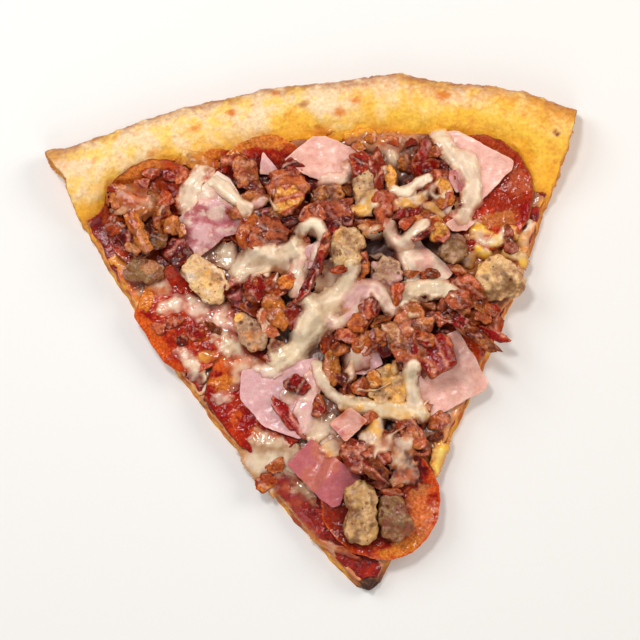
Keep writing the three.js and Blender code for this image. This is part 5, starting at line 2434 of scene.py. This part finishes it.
NODE_BITS = {node: several(Bit, *rows) for node, rows in {
    "bacon_2": (
        (-26.5, 56.6, 6.5, 4.5, 25, T.CRIMSON, T.ROSE), (-22.2, 54, 5, 7, 10, T.ROSE, T.TAN, 2.4, 0, 12)),
    "bacon_3": (
        (-9, 49.6, 9, 7, 10, T.ROSE, T.BRICK, 3), (-9, 43.6, 8, 6.4, 80, T.GOLD, T.RUST, 3.2, 0, 8)),
    "bacon_4": (
        (-20, 32, 9, 7.4, 40, T.BRICK, T.AMBER, 2.6, 0, 10),
        (-14.5, 32.6, 8, 8, 15, T.ROSE, T.MAROON, 2.4, -8)),
    "bacon_5": (
        (6.8, 35.2, 9, 5, 70, T.CRIMSON, T.MAROON), (6.5, 39.4, 8.5, 4, -5, T.ROSE, T.BRICK, 2.8),
        (0.2, 37.8, 5, 5, 0, T.ROSE, T.MAROON)),
    "bacon_6": (
        (39.6, 57, 8, 8.5, 20, T.CRIMSON, T.BRICK, 3), (37.4, 54, 5, 4, 0, T.CRIMSON, T.ROSE),
        (42, 60.4, 5, 3, 60, T.MAROON, T.CRIMSON)),
    "bacon_7": (
        (38.6, 45.4, 5, 4, -10, T.MAROON, T.CRIMSON), (41.2, 49, 8, 4.4, 15, T.BRICK, T.ROSE, 2.8),
        (44.4, 46.8, 3, 6, 10, T.GOLD, T.TAN)),
    "bacon_8": (
        (-18, 8.6, 7, 6.5, 60, T.BRICK, T.CRIMSON, 2.6), (-15.5, 13, 9, 6.4, 25, T.RUST, T.BRICK, 3),
        (-19, 13.4, 5, 5, 0, T.CRIMSON, T.BRICK)),
    "bacon_9": (
        (-12.2, 5.2, 5, 8.6, 25, T.AMBER, T.ROSE, 2.8, 0, 12), (-15.4, 1.6, 3.4, 7, 25, T.ROSE, T.CREAM)),
    "bacon_10": (
        (14.6, 0.4, 9, 4.6, 55, T.BRICK, T.ROSE, 2.8), (18.8, 6.8, 7, 4.4, 60, T.BRICK, T.ROSE, 2.6),
        (12, -3.2, 5.5, 4.6, 10, T.ROSE, T.BRICK)),
    "bacon_11": (
        (32.2, 0.8, 9.5, 6.4, 78, T.ROSE, T.TAN, 3), (32, -8, 7.2, 7, 20, T.ROSE, T.BROWN, 2.8),
        (37, 0, 6, 4, 40, T.BROWN, T.TAN)),
    "bacon_12": (
        (40.4, -8.6, 9, 9.6, 20, T.CRIMSON, T.ROSE, 3.4), (37.6, -4.6, 4, 3.4, 0, T.CRIMSON, T.MAROON)),
    "bacon_13": ((52, 13.8, 8, 5.4, -15, T.ROSE, T.BROWN, 2.8), (50.4, 8, 5, 4.6, 20, T.TAN, T.ROSE)),
    "bacon_14": ((-5.8, -19, 5.4, 4.8, 10, T.CRIMSON, T.MAROON, 2.8),),
    "bacon_15": (
        (16.4, -43.6, 9.5, 6.4, -40, T.BRICK, T.ROSE, 3), (22, -41.6, 7.6, 5.4, -20, T.ROSE, T.BRICK, 2.8),
        (20.4, -47.6, 7, 4, -50, T.MAROON, T.CRIMSON)),
    "bacon_16": ((31.6, -33, 9.5, 4.6, -62, T.RUST, T.ROSE, 2.8), (34.8, -37, 5, 4, -30, T.ROSE, T.TAN)),
    "bacon_17": (
        (25.4, 42, 9, 7.5, 55, T.ROSE, T.RUST, 2.8, 0, 10),
        (32, 39.4, 6.4, 3.8, 25, T.CRIMSON, T.MAROON, 2.8)),
    "bacon_1": (
        (49, 2.4, 4.6, 3.6, 0, T.CRIMSON, T.MAROON), (54, -2.4, 13, 3, -38, T.MAROON, T.BLACK, 2.2),
        (56.6, -4.6, 8, 2.6, -42, T.MAROON, T.BROWN, 2), (60.6, -1.8, 8, 1.8, -20, T.CRIMSON, T.ROSE, 1.6)),
}.items()}

CRUMBS_LEFT = several(
    Bit,
    (-58, 48.6, 5, 4, 30, T.ROSE, T.CRIMSON, 1.8), (-54.4, 45.6, 5, 4, 60, T.ROSE, T.BRICK, 1.8),
    (-65, 43.6, 6, 5, 20, T.TAN, T.ROSE, 1.8), (-60.4, 42.6, 6.4, 4, -20, T.CRIMSON, T.ROSE, 1.8),
    (-66.4, 47, 4.6, 3.4, 0, T.BRICK, T.TAN, 1.6), (-66, 35.4, 6, 5.4, 40, T.RUST, T.BRICK, 1.8),
    (-62.6, 31, 5, 7, 20, T.MAROON, T.CRIMSON, 1.8), (-53.6, 34.6, 5.4, 5.6, 0, T.MAROON, T.BROWN, 2),
    (-51, 37, 5.6, 8, 10, T.TAN, T.RUST, 2.4), (-52.6, 42.2, 6.4, 3.6, -60, T.TAN, T.CREAM, 2),
    (-47.6, 34.4, 4.6, 5, 0, T.TAN, T.AMBER, 2), (-44.6, 33, 3, 4, 0, T.TAN, T.AMBER, 2),
    (-52.4, 29.4, 4.6, 5.4, 20, T.OLIVE, T.BLACK, 1.8), (-49.6, 43.6, 4, 4, 0, T.RUST, T.BRICK, 1.6),
    (-46.2, 25.4, 7.4, 6.6, -20, T.MAROON, T.CRIMSON, 3), (-60, 27.4, 5, 4, 0, T.GREY, T.TAN, 1.6),
    (-60, 34.6, 4, 9.4, 20, T.AMBER, T.RUST, 2.2, 0, 14), (-56.6, 28.6, 4.4, 6.4, 34, T.AMBER, T.TAN, 2.2),
    (-57, 39.6, 4, 3, 40, T.TAN, T.CREAM, 1.8), (-55.4, 53, 5, 3, 0, T.BRICK, T.RUST, 1.4),
    (-49, 52.6, 4, 3.6, 0, T.CRIMSON, T.ROSE, 1.4), (-44.6, 51.4, 3.6, 3, 30, T.ROSE, T.CRIMSON, 1.4),
)

BITS_TOP = several(
    Bit,
    (-7, 55.4, 5.4, 3.8, 15, T.CRIMSON, T.MAROON, 2), (-15, 51, 6, 2.4, 10, T.CRIMSON, T.MAROON, 2),
    (-22, 49, 8.4, 3.2, -10, T.MAROON, T.MAUVE, 2), (-21, 43.4, 9, 4.4, 10, T.TAN, T.RUST, 2.2),
    (-14, 42, 8, 3.6, 30, T.BRICK, T.BROWN, 2), (-7.4, 38.8, 8, 4, 0, T.TAN, T.RUST, 2.4),
    (-4.4, 35, 5.6, 6.4, 20, T.TAN, T.ROSE, 2.4), (-8.4, 32.4, 3.4, 3, 0, T.AMBER, T.TAN, 2),
    (-9, 35.6, 6, 3.4, 20, T.MAROON, T.CRIMSON, 2), (-6.6, 30, 5, 4, 0, T.MAROON, T.CRIMSON, 2),
    (-4.6, 28.4, 4, 8, 10, T.TAN, T.RUST, 2.4), (-18.6, 38, 10, 3.4, 12, T.MAROON, T.MAUVE, 2),
    (-13, 37.6, 4.4, 4, 0, T.GREY, T.BROWN, 2), (-25.4, 39, 5, 4, 30, T.TAN, T.ROSE, 2),
    (-17.6, 28.6, 12, 2.8, 12, T.BRICK, T.TAN, 2.2), (-11.6, 29, 4, 4, 0, T.CRIMSON, T.ROSE, 2),
    (16.6, 56, 6.4, 6.6, 15, T.CRIMSON, T.MAROON, 3.2), (22, 53.6, 4, 11, 4, T.BRICK, T.ROSE, 2.8),
    (26, 51, 3.8, 8, 20, T.GOLD, T.CREAM, 2.6), (32.2, 57, 5, 4.6, 0, T.TAN, T.BROWN, 2.6),
    (36.4, 60.4, 6, 2.2, 45, T.BROWN, T.MAROON, 2), (41, 63.6, 6, 3, 50, T.ROSE, T.BROWN, 2),
    (47.2, 57, 4.6, 3, 0, T.AMBER, T.TAN, 1.6), (36.6, 47.4, 4, 3, 0, T.AMBER, T.TAN, 2),
    (49, 43.4, 5, 4, 30, T.AMBER, T.TAN, 2.2), (43.4, 52, 5, 3, 0, T.ROSE, T.BRICK, 2.2),
    (34.2, 37, 5.4, 3.2, 20, T.TAN, T.ROSE, 2.4), (39, 39.4, 9, 5.4, 5, T.GOLD, T.RUST, 2.8),
    (37.6, 42.4, 7, 3.4, 10, T.RUST, T.TAN, 2.4), (43.2, 36.4, 6, 5, 0, T.RUST, T.GOLD, 2.6),
    (46.4, 38, 4, 2.8, 20, T.CRIMSON, T.BRICK, 2), (43, 32.6, 5.6, 5.4, 20, T.GOLD, T.RUST, 2.6),
    (18.4, 34.2, 8, 4.6, -8, T.RUST, T.TAN, 3), (13.6, 38, 5, 4.4, 40, T.BROWN, T.TAN, 2.4),
    (38.6, 33.6, 6.4, 2.6, 25, T.CRIMSON, T.ROSE, 2.2), (36.4, 31.4, 6, 2.4, 35, T.MAROON, T.ROSE, 2.2),
    (26.6, 36.6, 5, 3, 60, T.RUST, T.ROSE, 2.2), (29.8, 44.2, 4, 2.4, 30, T.TAN, T.BRICK, 2),
    (11.4, 42.4, 4, 5, 0, T.ROSE, T.BRICK, 2), (10.6, 36.4, 4, 4, 0, T.MAROON, T.BRICK, 2),
    (19.6, 65, 3.4, 2.2, 10, T.AMBER, T.RUST, 1), (27.4, 64.6, 4, 2.4, -20, T.RUST, T.AMBER, 1),
    (33.4, 64, 3.4, 2.4, 30, T.BRICK, T.RUST, 1), (15.4, 62.4, 3.6, 2.6, 0, T.AMBER, T.ROSE, 1),
    (66.6, 32, 3, 6, 10, T.BROWN, T.RUST, 1.4), (67.4, 27.6, 3.4, 3, 0, T.ROSE, T.RUST, 1.4),
)

BITS_MIDDLE = several(
    Bit,
    (-26, 12.4, 6, 7, 20, T.MAROON, T.MAUVE, 3), (-24.6, 17.4, 3.6, 4.6, 0, T.CRIMSON, T.ROSE, 2.6),
    (-22, 9.6, 4, 4, 0, T.MAROON, T.BLACK, 2), (-11.4, 19, 6, 5, 30, T.AMBER, T.RUST, 2.4),
    (-10, 14.8, 5, 4.4, 0, T.RUST, T.AMBER, 2.4), (-14.6, 17, 5, 3.4, 20, T.BROWN, T.BRICK, 2),
    (3.4, 26.4, 8.5, 3, 72, T.MAROON, T.ROSE, 2.6), (0.8, 19.4, 8, 2.8, 68, T.CRIMSON, T.MAROON, 2.4),
    (-2.4, 12.8, 7.5, 2.4, 60, T.CRIMSON, T.MAROON, 2.4),
    (-4.4, 8.8, 3.4, 2.6, 20, T.MAROON, T.CRIMSON, 2), (-5, 4, 6.4, 7.6, 10, T.BRICK, T.CRIMSON, 2.8),
    (15, 15.6, 4.4, 4, 10, T.CRIMSON, T.BRICK, 2.6), (16.4, 20.6, 3.6, 8, -8, T.MAROON, T.ROSE, 2.4),
    (8.8, 19.2, 5, 2.6, 10, T.RUST, T.BRICK, 1.4), (6.6, -4.4, 6, 7.4, 20, T.RUST, T.BRICK, 2.8),
    (12.4, -3, 7, 4.6, 10, T.ROSE, T.BRICK, 2.6), (9.6, -7, 6, 3, 0, T.MAROON, T.BRICK, 2),
    (27, 9.8, 4.6, 8, 12, T.RUST, T.AMBER, 2.6), (38, 7.2, 7.4, 3.4, -8, T.BROWN, T.TAN, 2.6),
    (42.4, 3, 5, 4, 10, T.ROSE, T.BRICK, 2.6), (47.2, 4.6, 7.4, 3, 8, T.MAROON, T.LILAC, 2.2),
    (44.6, 8, 5, 3.6, 40, T.ROSE, T.TAN, 2.2), (54.4, 3.8, 5.4, 5, 20, T.AMBER, T.RUST, 2.2),
    (56.6, 9, 4.6, 5.6, 20, T.BROWN, T.AMBER, 2.2), (50.4, 19.4, 8, 2.4, -30, T.BRICK, T.TAN, 2),
    (58, 4.6, 4.6, 4, 0, T.ROSE, T.RUST, 1.8), (62, 1.8, 4.6, 4, 30, T.RUST, T.ROSE, 1.6),
    (60.6, 6.4, 4, 3.4, 0, T.BRICK, T.MAROON, 1.6), (17.6, -5.4, 8.4, 5.4, 10, T.RUST, T.BROWN, 2.8),
    (21.6, -3, 4.6, 4.4, 0, T.AMBER, T.BRICK, 2.4), (22.4, 1.4, 5.4, 4, 20, T.OLIVE, T.BROWN, 2),
    # The maroon and black bit at (24.6, -7.4) stands in a dark gap: painted shade.
    (26, -2.4, 5.4, 6.6, 20, T.GREY, T.IVORY, 2.4), (24.6, -7.4, 4, 4, 0, T.MAROON, T.BLACK, 1.8),
    (31.6, -12, 7, 2.6, 10, T.BROWN, T.MAROON, 2), (37.4, -14.4, 3.4, 4, 0, T.RUST, T.TAN, 2.2),
    (26, 4.4, 7, 2.4, 30, T.BROWN, T.TAN, 2), (36, 10, 8, 2, 12, T.MAROON, T.BROWN, 1.8),
    (9.6, 7.4, 6, 3.4, -25, T.OLIVE, T.AMBER, 1.6), (6.2, -13, 5, 8, 10, T.OLIVE, T.BROWN, 2),
    (16.4, -19.4, 5, 4.6, 10, T.RUST, T.ROSE, 3), (20.4, -17.6, 4, 5, 20, T.AMBER, T.GOLD, 2.6),
    (37.8, 18.4, 3.4, 2, 0, T.RUST, T.BRICK, 1.2), (-33, 0, 5.4, 2, -30, T.MAROON, T.CRIMSON, 1.4),
    (-13, -10, 6, 2, -8, T.MAROON, T.CRIMSON, 1.4), (-44.4, -3.8, 3.4, 3, 0, T.MAROON, T.BRICK, 1.4),
    (-47, 2.4, 5, 3, 20, T.ROSE, T.CRIMSON, 1.2), (-40, -1.6, 5, 3.4, -30, T.CRIMSON, T.ROSE, 1.2),
    (-52.4, 0.4, 4, 3, 0, T.ROSE, T.BRICK, 1.2),
)

BITS_LOW = several(
    Bit,
    (2, -26.6, 4, 6, 0, T.CRIMSON, T.BRICK, 2.4), (-8.2, -30.4, 12.6, 3, -52, T.CRIMSON, T.MAUVE, 1.2),
    (22, -37, 8.4, 4.4, 5, T.BRICK, T.ROSE, 2.8), (36.4, -31, 5.4, 4.4, 30, T.CRIMSON, T.BRICK, 2.4),
    (42.6, -31, 6, 4, 25, T.ROSE, T.BRICK, 2.2), (41.8, -36.4, 5, 2, 15, T.BROWN, T.MAROON, 1.8),
    (36.8, -40.6, 5, 4, -60, T.ROSE, T.BRICK, 2.2), (26.8, -44, 5, 5.6, 0, T.BRICK, T.AMBER, 2.2),
    (14.4, -46.4, 5, 4, -40, T.BRICK, T.ROSE, 2.4), (25.4, -46.6, 3.4, 5, 20, T.MAROON, T.BLACK, 2),
    (26.4, -55.6, 6, 2.4, -5, T.CRIMSON, T.MAROON, 2), (25, -52.8, 8, 2.6, 0, T.ROSE, T.TAN, 2),
    (13, -39.6, 6, 3.4, 10, T.RUST, T.ROSE, 2.2), (27.6, -36.4, 4.6, 2.6, -40, T.BROWN, T.MAROON, 2),
    (38, -27.4, 5, 3, 30, T.BRICK, T.AMBER, 2), (-12.6, -46.6, 4.6, 3.6, 30, T.BRICK, T.ROSE, 1),
    (-16, -51.6, 6, 4.6, 20, T.RUST, T.AMBER, 2),
)

BITS_LATE = several(
    Bit,
    (3.6, 26.4, 9.4, 2.6, 72, T.MAROON, T.ROSE, 2.2), (1, 19.4, 8.6, 2.4, 68, T.CRIMSON, T.MAROON, 2.2),
    (-2, 13, 8, 2.2, 62, T.MAROON, T.CRIMSON, 2), (9.4, 19.4, 4.4, 2.2, 10, T.RUST, T.CRIMSON, 1.2),
    (28.2, 11.4, 3, 6.4, -18, T.RUST, T.AMBER, 1.8), (19, 6.2, 5, 6.6, -12, T.ROSE, T.BRICK, 2),
    (14.6, 1.2, 5, 4.6, 30, T.BRICK, T.ROSE, 2), (48.6, 9.4, 6, 6, 10, T.ROSE, T.BROWN, 2.2),
    (33, 18.6, 4, 2, 10, T.RUST, T.BROWN, 1), (40.6, 19, 4, 2.4, -20, T.BROWN, T.RUST, 1.4),
    (-8.6, 15.6, 5, 3.6, 30, T.AMBER, T.RUST, 1.6), (18.6, -30.4, 4, 3, 30, T.ROSE, T.BRICK, 1.6),
    (44.4, 41.8, 5, 3.6, 20, T.AMBER, T.RUST, 1.8), (31.6, 35.6, 5, 3, 40, T.RUST, T.ROSE, 1.8),
)

SMALL_HAM = (
    Ham("ham_triangle", 71, T.LILAC, T.PINK,
        corners=((-17, 60.5), (-12, 54.5), (-12, 52.4), (-18, 52.4), (-18, 56.5))),
    Ham("ham_slip", 72, T.LILAC, T.LILAC,
        corners=((1, 28.5), (2, 25), (-1, 19.5), (-3.5, 21), (-2.5, 27))),
    Ham("ham_tail", 73, T.PINK, T.PINK,
        corners=((44.5, 35), (50, 38.8), (55.2, 36.4), (52, 33.4), (47, 32.8))),
    Ham("ham_dark", 74, T.MAUVE, T.LILAC,
        corners=((46, 53.6), (50.6, 54), (51.6, 48), (48.4, 45.6), (45.8, 50))),
)

HAM_OVER_STRANDS = Ham(
    "ham_10", 30, T.PINK, T.ROSE, (Dab(8, -35, 6, 4, -50, T.MAUVE, 0.7),), thickness=2.4,
    corners=((5.4, -32), (12.8, -26.8), (18.4, -31.4), (11, -38.8)))

MELTED_LOW = several(
    Film,
    (-47, 8.6, 12, 6, 20, T.CREAM, T.CREAM, 1), (-39, 6.6, 14, 6, -25, T.CREAM, T.BLUSH, 1.1),
    (-31, 3.6, 13, 8, -30, T.CREAM, T.BLUSH, 1.1), (-28, -5, 14, 8, -20, T.CREAM, T.IVORY, 1.1),
    (-36, 9, 16, 4.6, -10, T.CREAM, T.CREAM, 1), (-41.4, -12, 13, 6, -52, T.CREAM, T.CREAM, 1.1),
    (-23, -12.4, 11, 9, 0, T.CREAM, T.AMBER, 0.8), (-31.4, -23, 9, 5.6, 8, T.LILAC, T.CREAM, 0.8),
    (-36, -9.4, 7, 4, 0, T.GOLD, T.AMBER, 0.7), (-26, -17, 5, 9, 0, T.CREAM, T.AMBER, 0.7),
    (-14, -40.4, 19, 11, -14, T.IVORY, T.GREY, 1.3, 0.25, 3),
    (-19.4, -45, 9, 10, 30, T.CREAM, T.IVORY, 1.4, 0.25, 3),
    (-17, -52.4, 6, 9, 20, T.CREAM, T.GOLD, 1, 0.3, 3), (-4.6, -53.4, 14, 3.6, -50, T.GREY, T.BROWN, 0.8),
    (-8.6, -55, 17, 5, -52, T.CRIMSON, T.ROSE, 0.6), (-2, -65, 12, 3, -52, T.CRIMSON, T.MAUVE, 0.5),
    (22, 62, 12, 4, -15, T.APRICOT, T.CREAM, 0.6), (27, 58, 6, 6, 40, T.IVORY, T.GREY, 1),
    (-52, 14.4, 9, 6, 0, T.CREAM, T.TAN, 0.9), (56, 33, 8, 6, 10, T.GOLDEN, T.CREAM, 1.1, 0.6),
    (61, 29.6, 7, 6, 40, T.IVORY, T.BUTTER, 1.3, 0.6), (58, 25.6, 8, 4, -30, T.GOLDEN, T.IVORY, 1.2, 0.6),
    (65.6, 33, 6, 5, 0, T.CREAM, T.GOLD, 1.2, 0.6), (67.4, 27, 6, 7, 30, T.BUTTER, T.CREAM, 1.3, 0.6),
    (71.6, 24, 4, 8, 60, T.CREAM, T.GOLDEN, 1, 0.6), (63, 22.6, 7, 4, 0, T.CREAM, T.KHAKI, 1.1, 0.6),
    (68.6, 19, 6, 5, 50, T.CREAM, T.GOLD, 1, 0.6), (43.4, -43, 6, 13, -8, T.GOLDEN, T.BUTTER, 1.2),
    (52.6, 24.4, 6, 6, 0, T.GREY, T.CREAM, 1), (8, -74, 15, 2.4, -25, T.APRICOT, T.ROSE, 0.5),
    (24, 64.8, 28, 5.6, -4, T.AMBER, T.RUST, 0.8, 0.6), (-28.6, 25, 9, 9, 0, T.IVORY, T.CREAM, 1.2),
    (-39, 56.4, 8, 4.4, -20, T.GOLD, T.BROWN, 0.8),
)

STRANDS = {node: several(Rope, *rows) for node, rows in {
    "cheese_strand_1": (
        (((-37.6, 53.4), (-39.6, 50.2), (-41.6, 47), (-43.2, 43)), 5.4, T.CREAM, T.CREAM, 0.34),),
    "cheese_strand_2": (
        (((44, 65.2), (45, 62.4), (47, 59.4), (50.4, 56), (52.4, 53)), 5.2, T.CREAM, T.CREAM),),
    "cheese_strand_3": (
        (((50.8, 58), (53.6, 54.4), (54.6, 49), (53.6, 43.4), (51, 38.8)), 5.4, T.CREAM, T.CREAM),),
    "cheese_strand_4": (
        (((-24.8, 19.6), (-19, 21), (-14.6, 22.9), (-9.6, 25.4), (-5.6, 26)), 6.4, T.CREAM, T.IVORY),),
    "cheese_strand_5": (
        (((6.6, 8), (2, 1.6), (-3.6, -4), (-7, -8), (-11, -10.8)), 6.4, T.IVORY, T.IVORY),
        (((0.6, 8.4), (-0.4, 5), (-2.8, 1.4), (-5, -3)), 4.6, T.CREAM, T.IVORY)),
    "cheese_strand_6": (
        (((11.6, -25.6), (18.4, -27), (27.2, -28), (36.4, -28.6)), 4.6, T.IVORY, T.GOLD),),
    "cheese_strand_7": (
        (((29.4, 10.4), (34, 12.6), (39, 13.6), (44, 13.4), (48, 10.6)), 6, T.IVORY, T.CREAM, 0.32),),
}.items()}

MELTED_GLAZE = several(
    Film,
    (8, 51.4, 13, 4, 16, T.CREAM, T.BLUSH, 1, 0.6), (13, 53.6, 5, 6, 20, T.CREAM, T.BLUSH, 0.9, 0.6),
    (-14.4, -13.6, 10, 7, -12, T.CREAM, T.CREAM, 1.4), (-7, -21, 9, 6, 40, T.CREAM, T.GREY, 0.8),
    (-1.6, -25, 7, 18, -6, T.CREAM, T.LILAC, 0.8), (3.4, -33, 10, 8, 20, T.CREAM, T.CREAM, 1.2),
    (8, -40.4, 11, 5.4, 10, T.CREAM, T.GOLD, 1.2), (14.4, -10.6, 10, 8, -20, T.CREAM, T.PINK, 1.2),
    (30, 23, 3, 13, 15, T.CREAM, T.BLUSH, 0.6),
)

MELTED_TOP = (Web(WEB, gaps=SHADED_GAPS), *several(
    Film,
    (-19, 42, 6.4, 4, 20, T.LILAC, T.CREAM), (0.6, 33, 8.4, 5, -35, T.CREAM, T.CREAM, 1.6),
    (-5, 17, 14, 7, 84, T.CREAM, T.PINK, 1.4, 0.3, 2.2),
    (5.2, 16, 16, 9, 60, T.IVORY, T.CREAM, 1.2, 0.34, 1.8),
    (2.4, 9, 10, 8, 30, T.IVORY, T.CREAM, 1.2, 0.34, 1.8), (17.6, 41.4, 9, 6, 60, T.GOLD, T.CREAM, 1.4),
    (19.6, -34.4, 11, 7.6, 50, T.CREAM, T.GOLD, 1.4, 0.5), (-16, 19, 3.4, 3.4, 0, T.CREAM, T.CREAM, 1.4),
    (30, -42.4, 8, 12, 12, T.CREAM, T.APRICOT, 0.9, 0.6), (31, -50, 9, 5, 20, T.CREAM, T.ROSE, 0.9, 0.6),
    (-60, 43, 13, 8, -20, T.RUST, T.APRICOT, 0.4), (-39, 57, 12, 6, -15, T.AMBER, T.BROWN, 1),
    (-63.6, 39.6, 6, 2.4, 20, T.CREAM, T.TAN, 1.2), (12, 13.6, 6, 4.6, 20, T.CREAM, T.LILAC, 1.2),
    (20.4, 41, 4, 3, 0, T.CREAM, T.CREAM, 1.2), (33.4, 43, 11, 5, 25, T.CREAM, T.GOLD, 1),
    (42, 40.6, 9, 4, -20, T.CREAM, T.GOLD, 0.9), (22, 32.6, 8, 4, 10, T.CREAM, T.TAN, 0.9),
    (1.6, 25.4, 7, 4, 60, T.CREAM, T.LILAC, 1), (17, 33.8, 3.4, 2.4, 0, T.CREAM, T.TAN, 1),
))

ROPES = several(
    Rope,
    (((15.2, 7), (11.4, 3.4), (8, 1.6), (5.8, 3)), 4, T.LILAC, T.CREAM),
    (((27.6, 46.6), (31, 46), (35, 48.4), (38.4, 50.6)), 3.2, T.CREAM, T.CREAM),
    (((26, 33.6), (28, 30.4), (31, 28.6)), 4.4, T.CREAM, T.PINK),
    (((37.4, 35), (34, 32), (31, 29.4)), 3.6, T.CREAM, T.CREAM),
    (((-1.8, 8.4), (0.4, 5.6), (2.8, 2.6)), 4, T.IVORY, T.IVORY),
    (((1.4, -12), (2.6, -17), (6, -21.4), (11, -25)), 3.2, T.CREAM, T.IVORY),
    (((33.4, -13.6), (33, -19), (34.4, -25.4)), 4, T.CREAM, T.IVORY),
    (((-24, 21.6), (-20.6, 24.4), (-15.4, 25.8), (-9.4, 22.6)), 4.8, T.CREAM, T.CREAM),
    (((12.8, 19.6), (10.6, 14.6), (6.6, 10.4), (1.4, 8)), 5.4, T.IVORY, T.CREAM, 0.3),
    (((46.2, 45.6), (46.4, 42), (45, 39.6)), 2, T.LILAC, T.CREAM),
    (((-33, 50.4), (-30, 47.4), (-26, 43.4), (-22.4, 39.8)), 3.8, T.CREAM, T.CREAM, 0.4),
    (((12.6, 8.6), (16.2, 12.2), (21, 12.2), (26, 8)), 5.6, T.LILAC, T.CREAM),
    (((-3.4, 32.6), (-0.4, 34.6), (2.6, 33), (4.2, 30)), 3.6, T.CREAM, T.CREAM),
    (((-5.4, 22), (-5.8, 17), (-4.6, 12.4)), 5, T.CREAM, T.PINK, 0.5),
)


def main() -> None:
    """Builds the slice from the dough up, in the order in which it was topped."""
    logging.basicConfig(level=logging.INFO, format="%(message)s")
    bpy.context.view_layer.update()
    stack = Stack()
    Crust().build(stack)
    Sauce("sauce_spread", "sauce", columns=150, rows=150, rim_inset=1.4, cut_inset=2.2).build(stack)
    Cheese("cheese_melted", "cheese", columns=230, rows=230, rim_inset=2.2, cut_inset=2.4).build(stack)
    pepperoni = MeatFinish("pepperoni", grain=0.9, contrast=0.34, gloss=(0.08, 0.2), shine=0.24, depth=0.4,
                           bumpy=0.5, flecks=0.1, warm=0.2).make()
    for part in PEPPERONI:
        part.build(stack, pepperoni)
    bacon = MeatFinish("fried_bacon", grain=0.9, contrast=0.3, gloss=(0.08, 0.22), shine=0.28, flecks=0.06,
                       depth=0.35, bumpy=0.5, warm=0.2).make()
    Scatter("bacon_fill", count=190, spots=PILE, tints=FILL_TINTS, seed=1, gaps=SHADED_GAPS).build(stack, bacon)
    melted = MeltedFinish().make()
    Melt("cheese_runs_low", seed=300, runs=MELTED_LOW).build(stack, melted)
    ham = MeatFinish("cooked_ham", grain=1.6, contrast=0.06, gloss=(0.2, 0.34), flesh=0.3, depth=0.12).make()
    for part in HAM + SMALL_HAM[:1]:
        part.build(stack, ham)
    Melt("cheese_glaze", seed=350, runs=MELTED_GLAZE).build(stack, melted)
    sausage = MeatFinish("pork_crumble", grain=1.5, contrast=0.2, gloss=(0.3, 0.45), flesh=0.2,
                         pepper=0.8).make()
    for part in SAUSAGE_LOW:
        part.build(stack, sausage)
    Scatter("crumbs_left_fill", count=70, spots=LEFT, tints=LEFT_TINTS, size=(1.8, 4), thick=(1, 1.8),
            seed=2).build(stack, bacon)
    maker, large = Bacon(grow=1.42), Bacon(grow=1.7)
    for name, bits, seed in (("bacon_crumbs_left", CRUMBS_LEFT, 500), ("bacon_bits_top", BITS_TOP, 800),
                             ("bacon_bits_middle", BITS_MIDDLE, 900), ("bacon_bits_low", BITS_LOW, 1000)):
        maker.build(name, bits, seed, stack, bacon)
    for number, (node, bits) in enumerate(NODE_BITS.items()):
        large.build(f"{node}_bits", bits, 600 + 10 * number, stack, bacon, [node])
    for part in SMALL_HAM[1:]:
        part.build(stack, ham)
    Melt("cheese_runs_top", seed=450, runs=MELTED_TOP).build(stack, melted)
    for number, (node, ropes) in enumerate(STRANDS.items()):
        write_ropes(f"{node}_melted", ropes, 400 + 10 * number, stack, melted, [node])
    write_ropes("cheese_shreds", ROPES, 480, stack, melted)
    puddles = tuple(Puddle(rope) for rope in (*itertools.chain(*STRANDS.values()), *ROPES))
    Melt("cheese_puddles", seed=700, runs=puddles, clear=0.4, ragged=0.4, oily=0.12,
         browned=0.5).build(stack, melted)
    maker.build("bacon_bits_late", BITS_LATE, 1100, stack, bacon)
    HAM_OVER_STRANDS.build(stack, ham)
    PaintedShade().paint_shade(stack)
    Studio().build()
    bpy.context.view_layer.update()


if __name__ == "__main__":
    main()
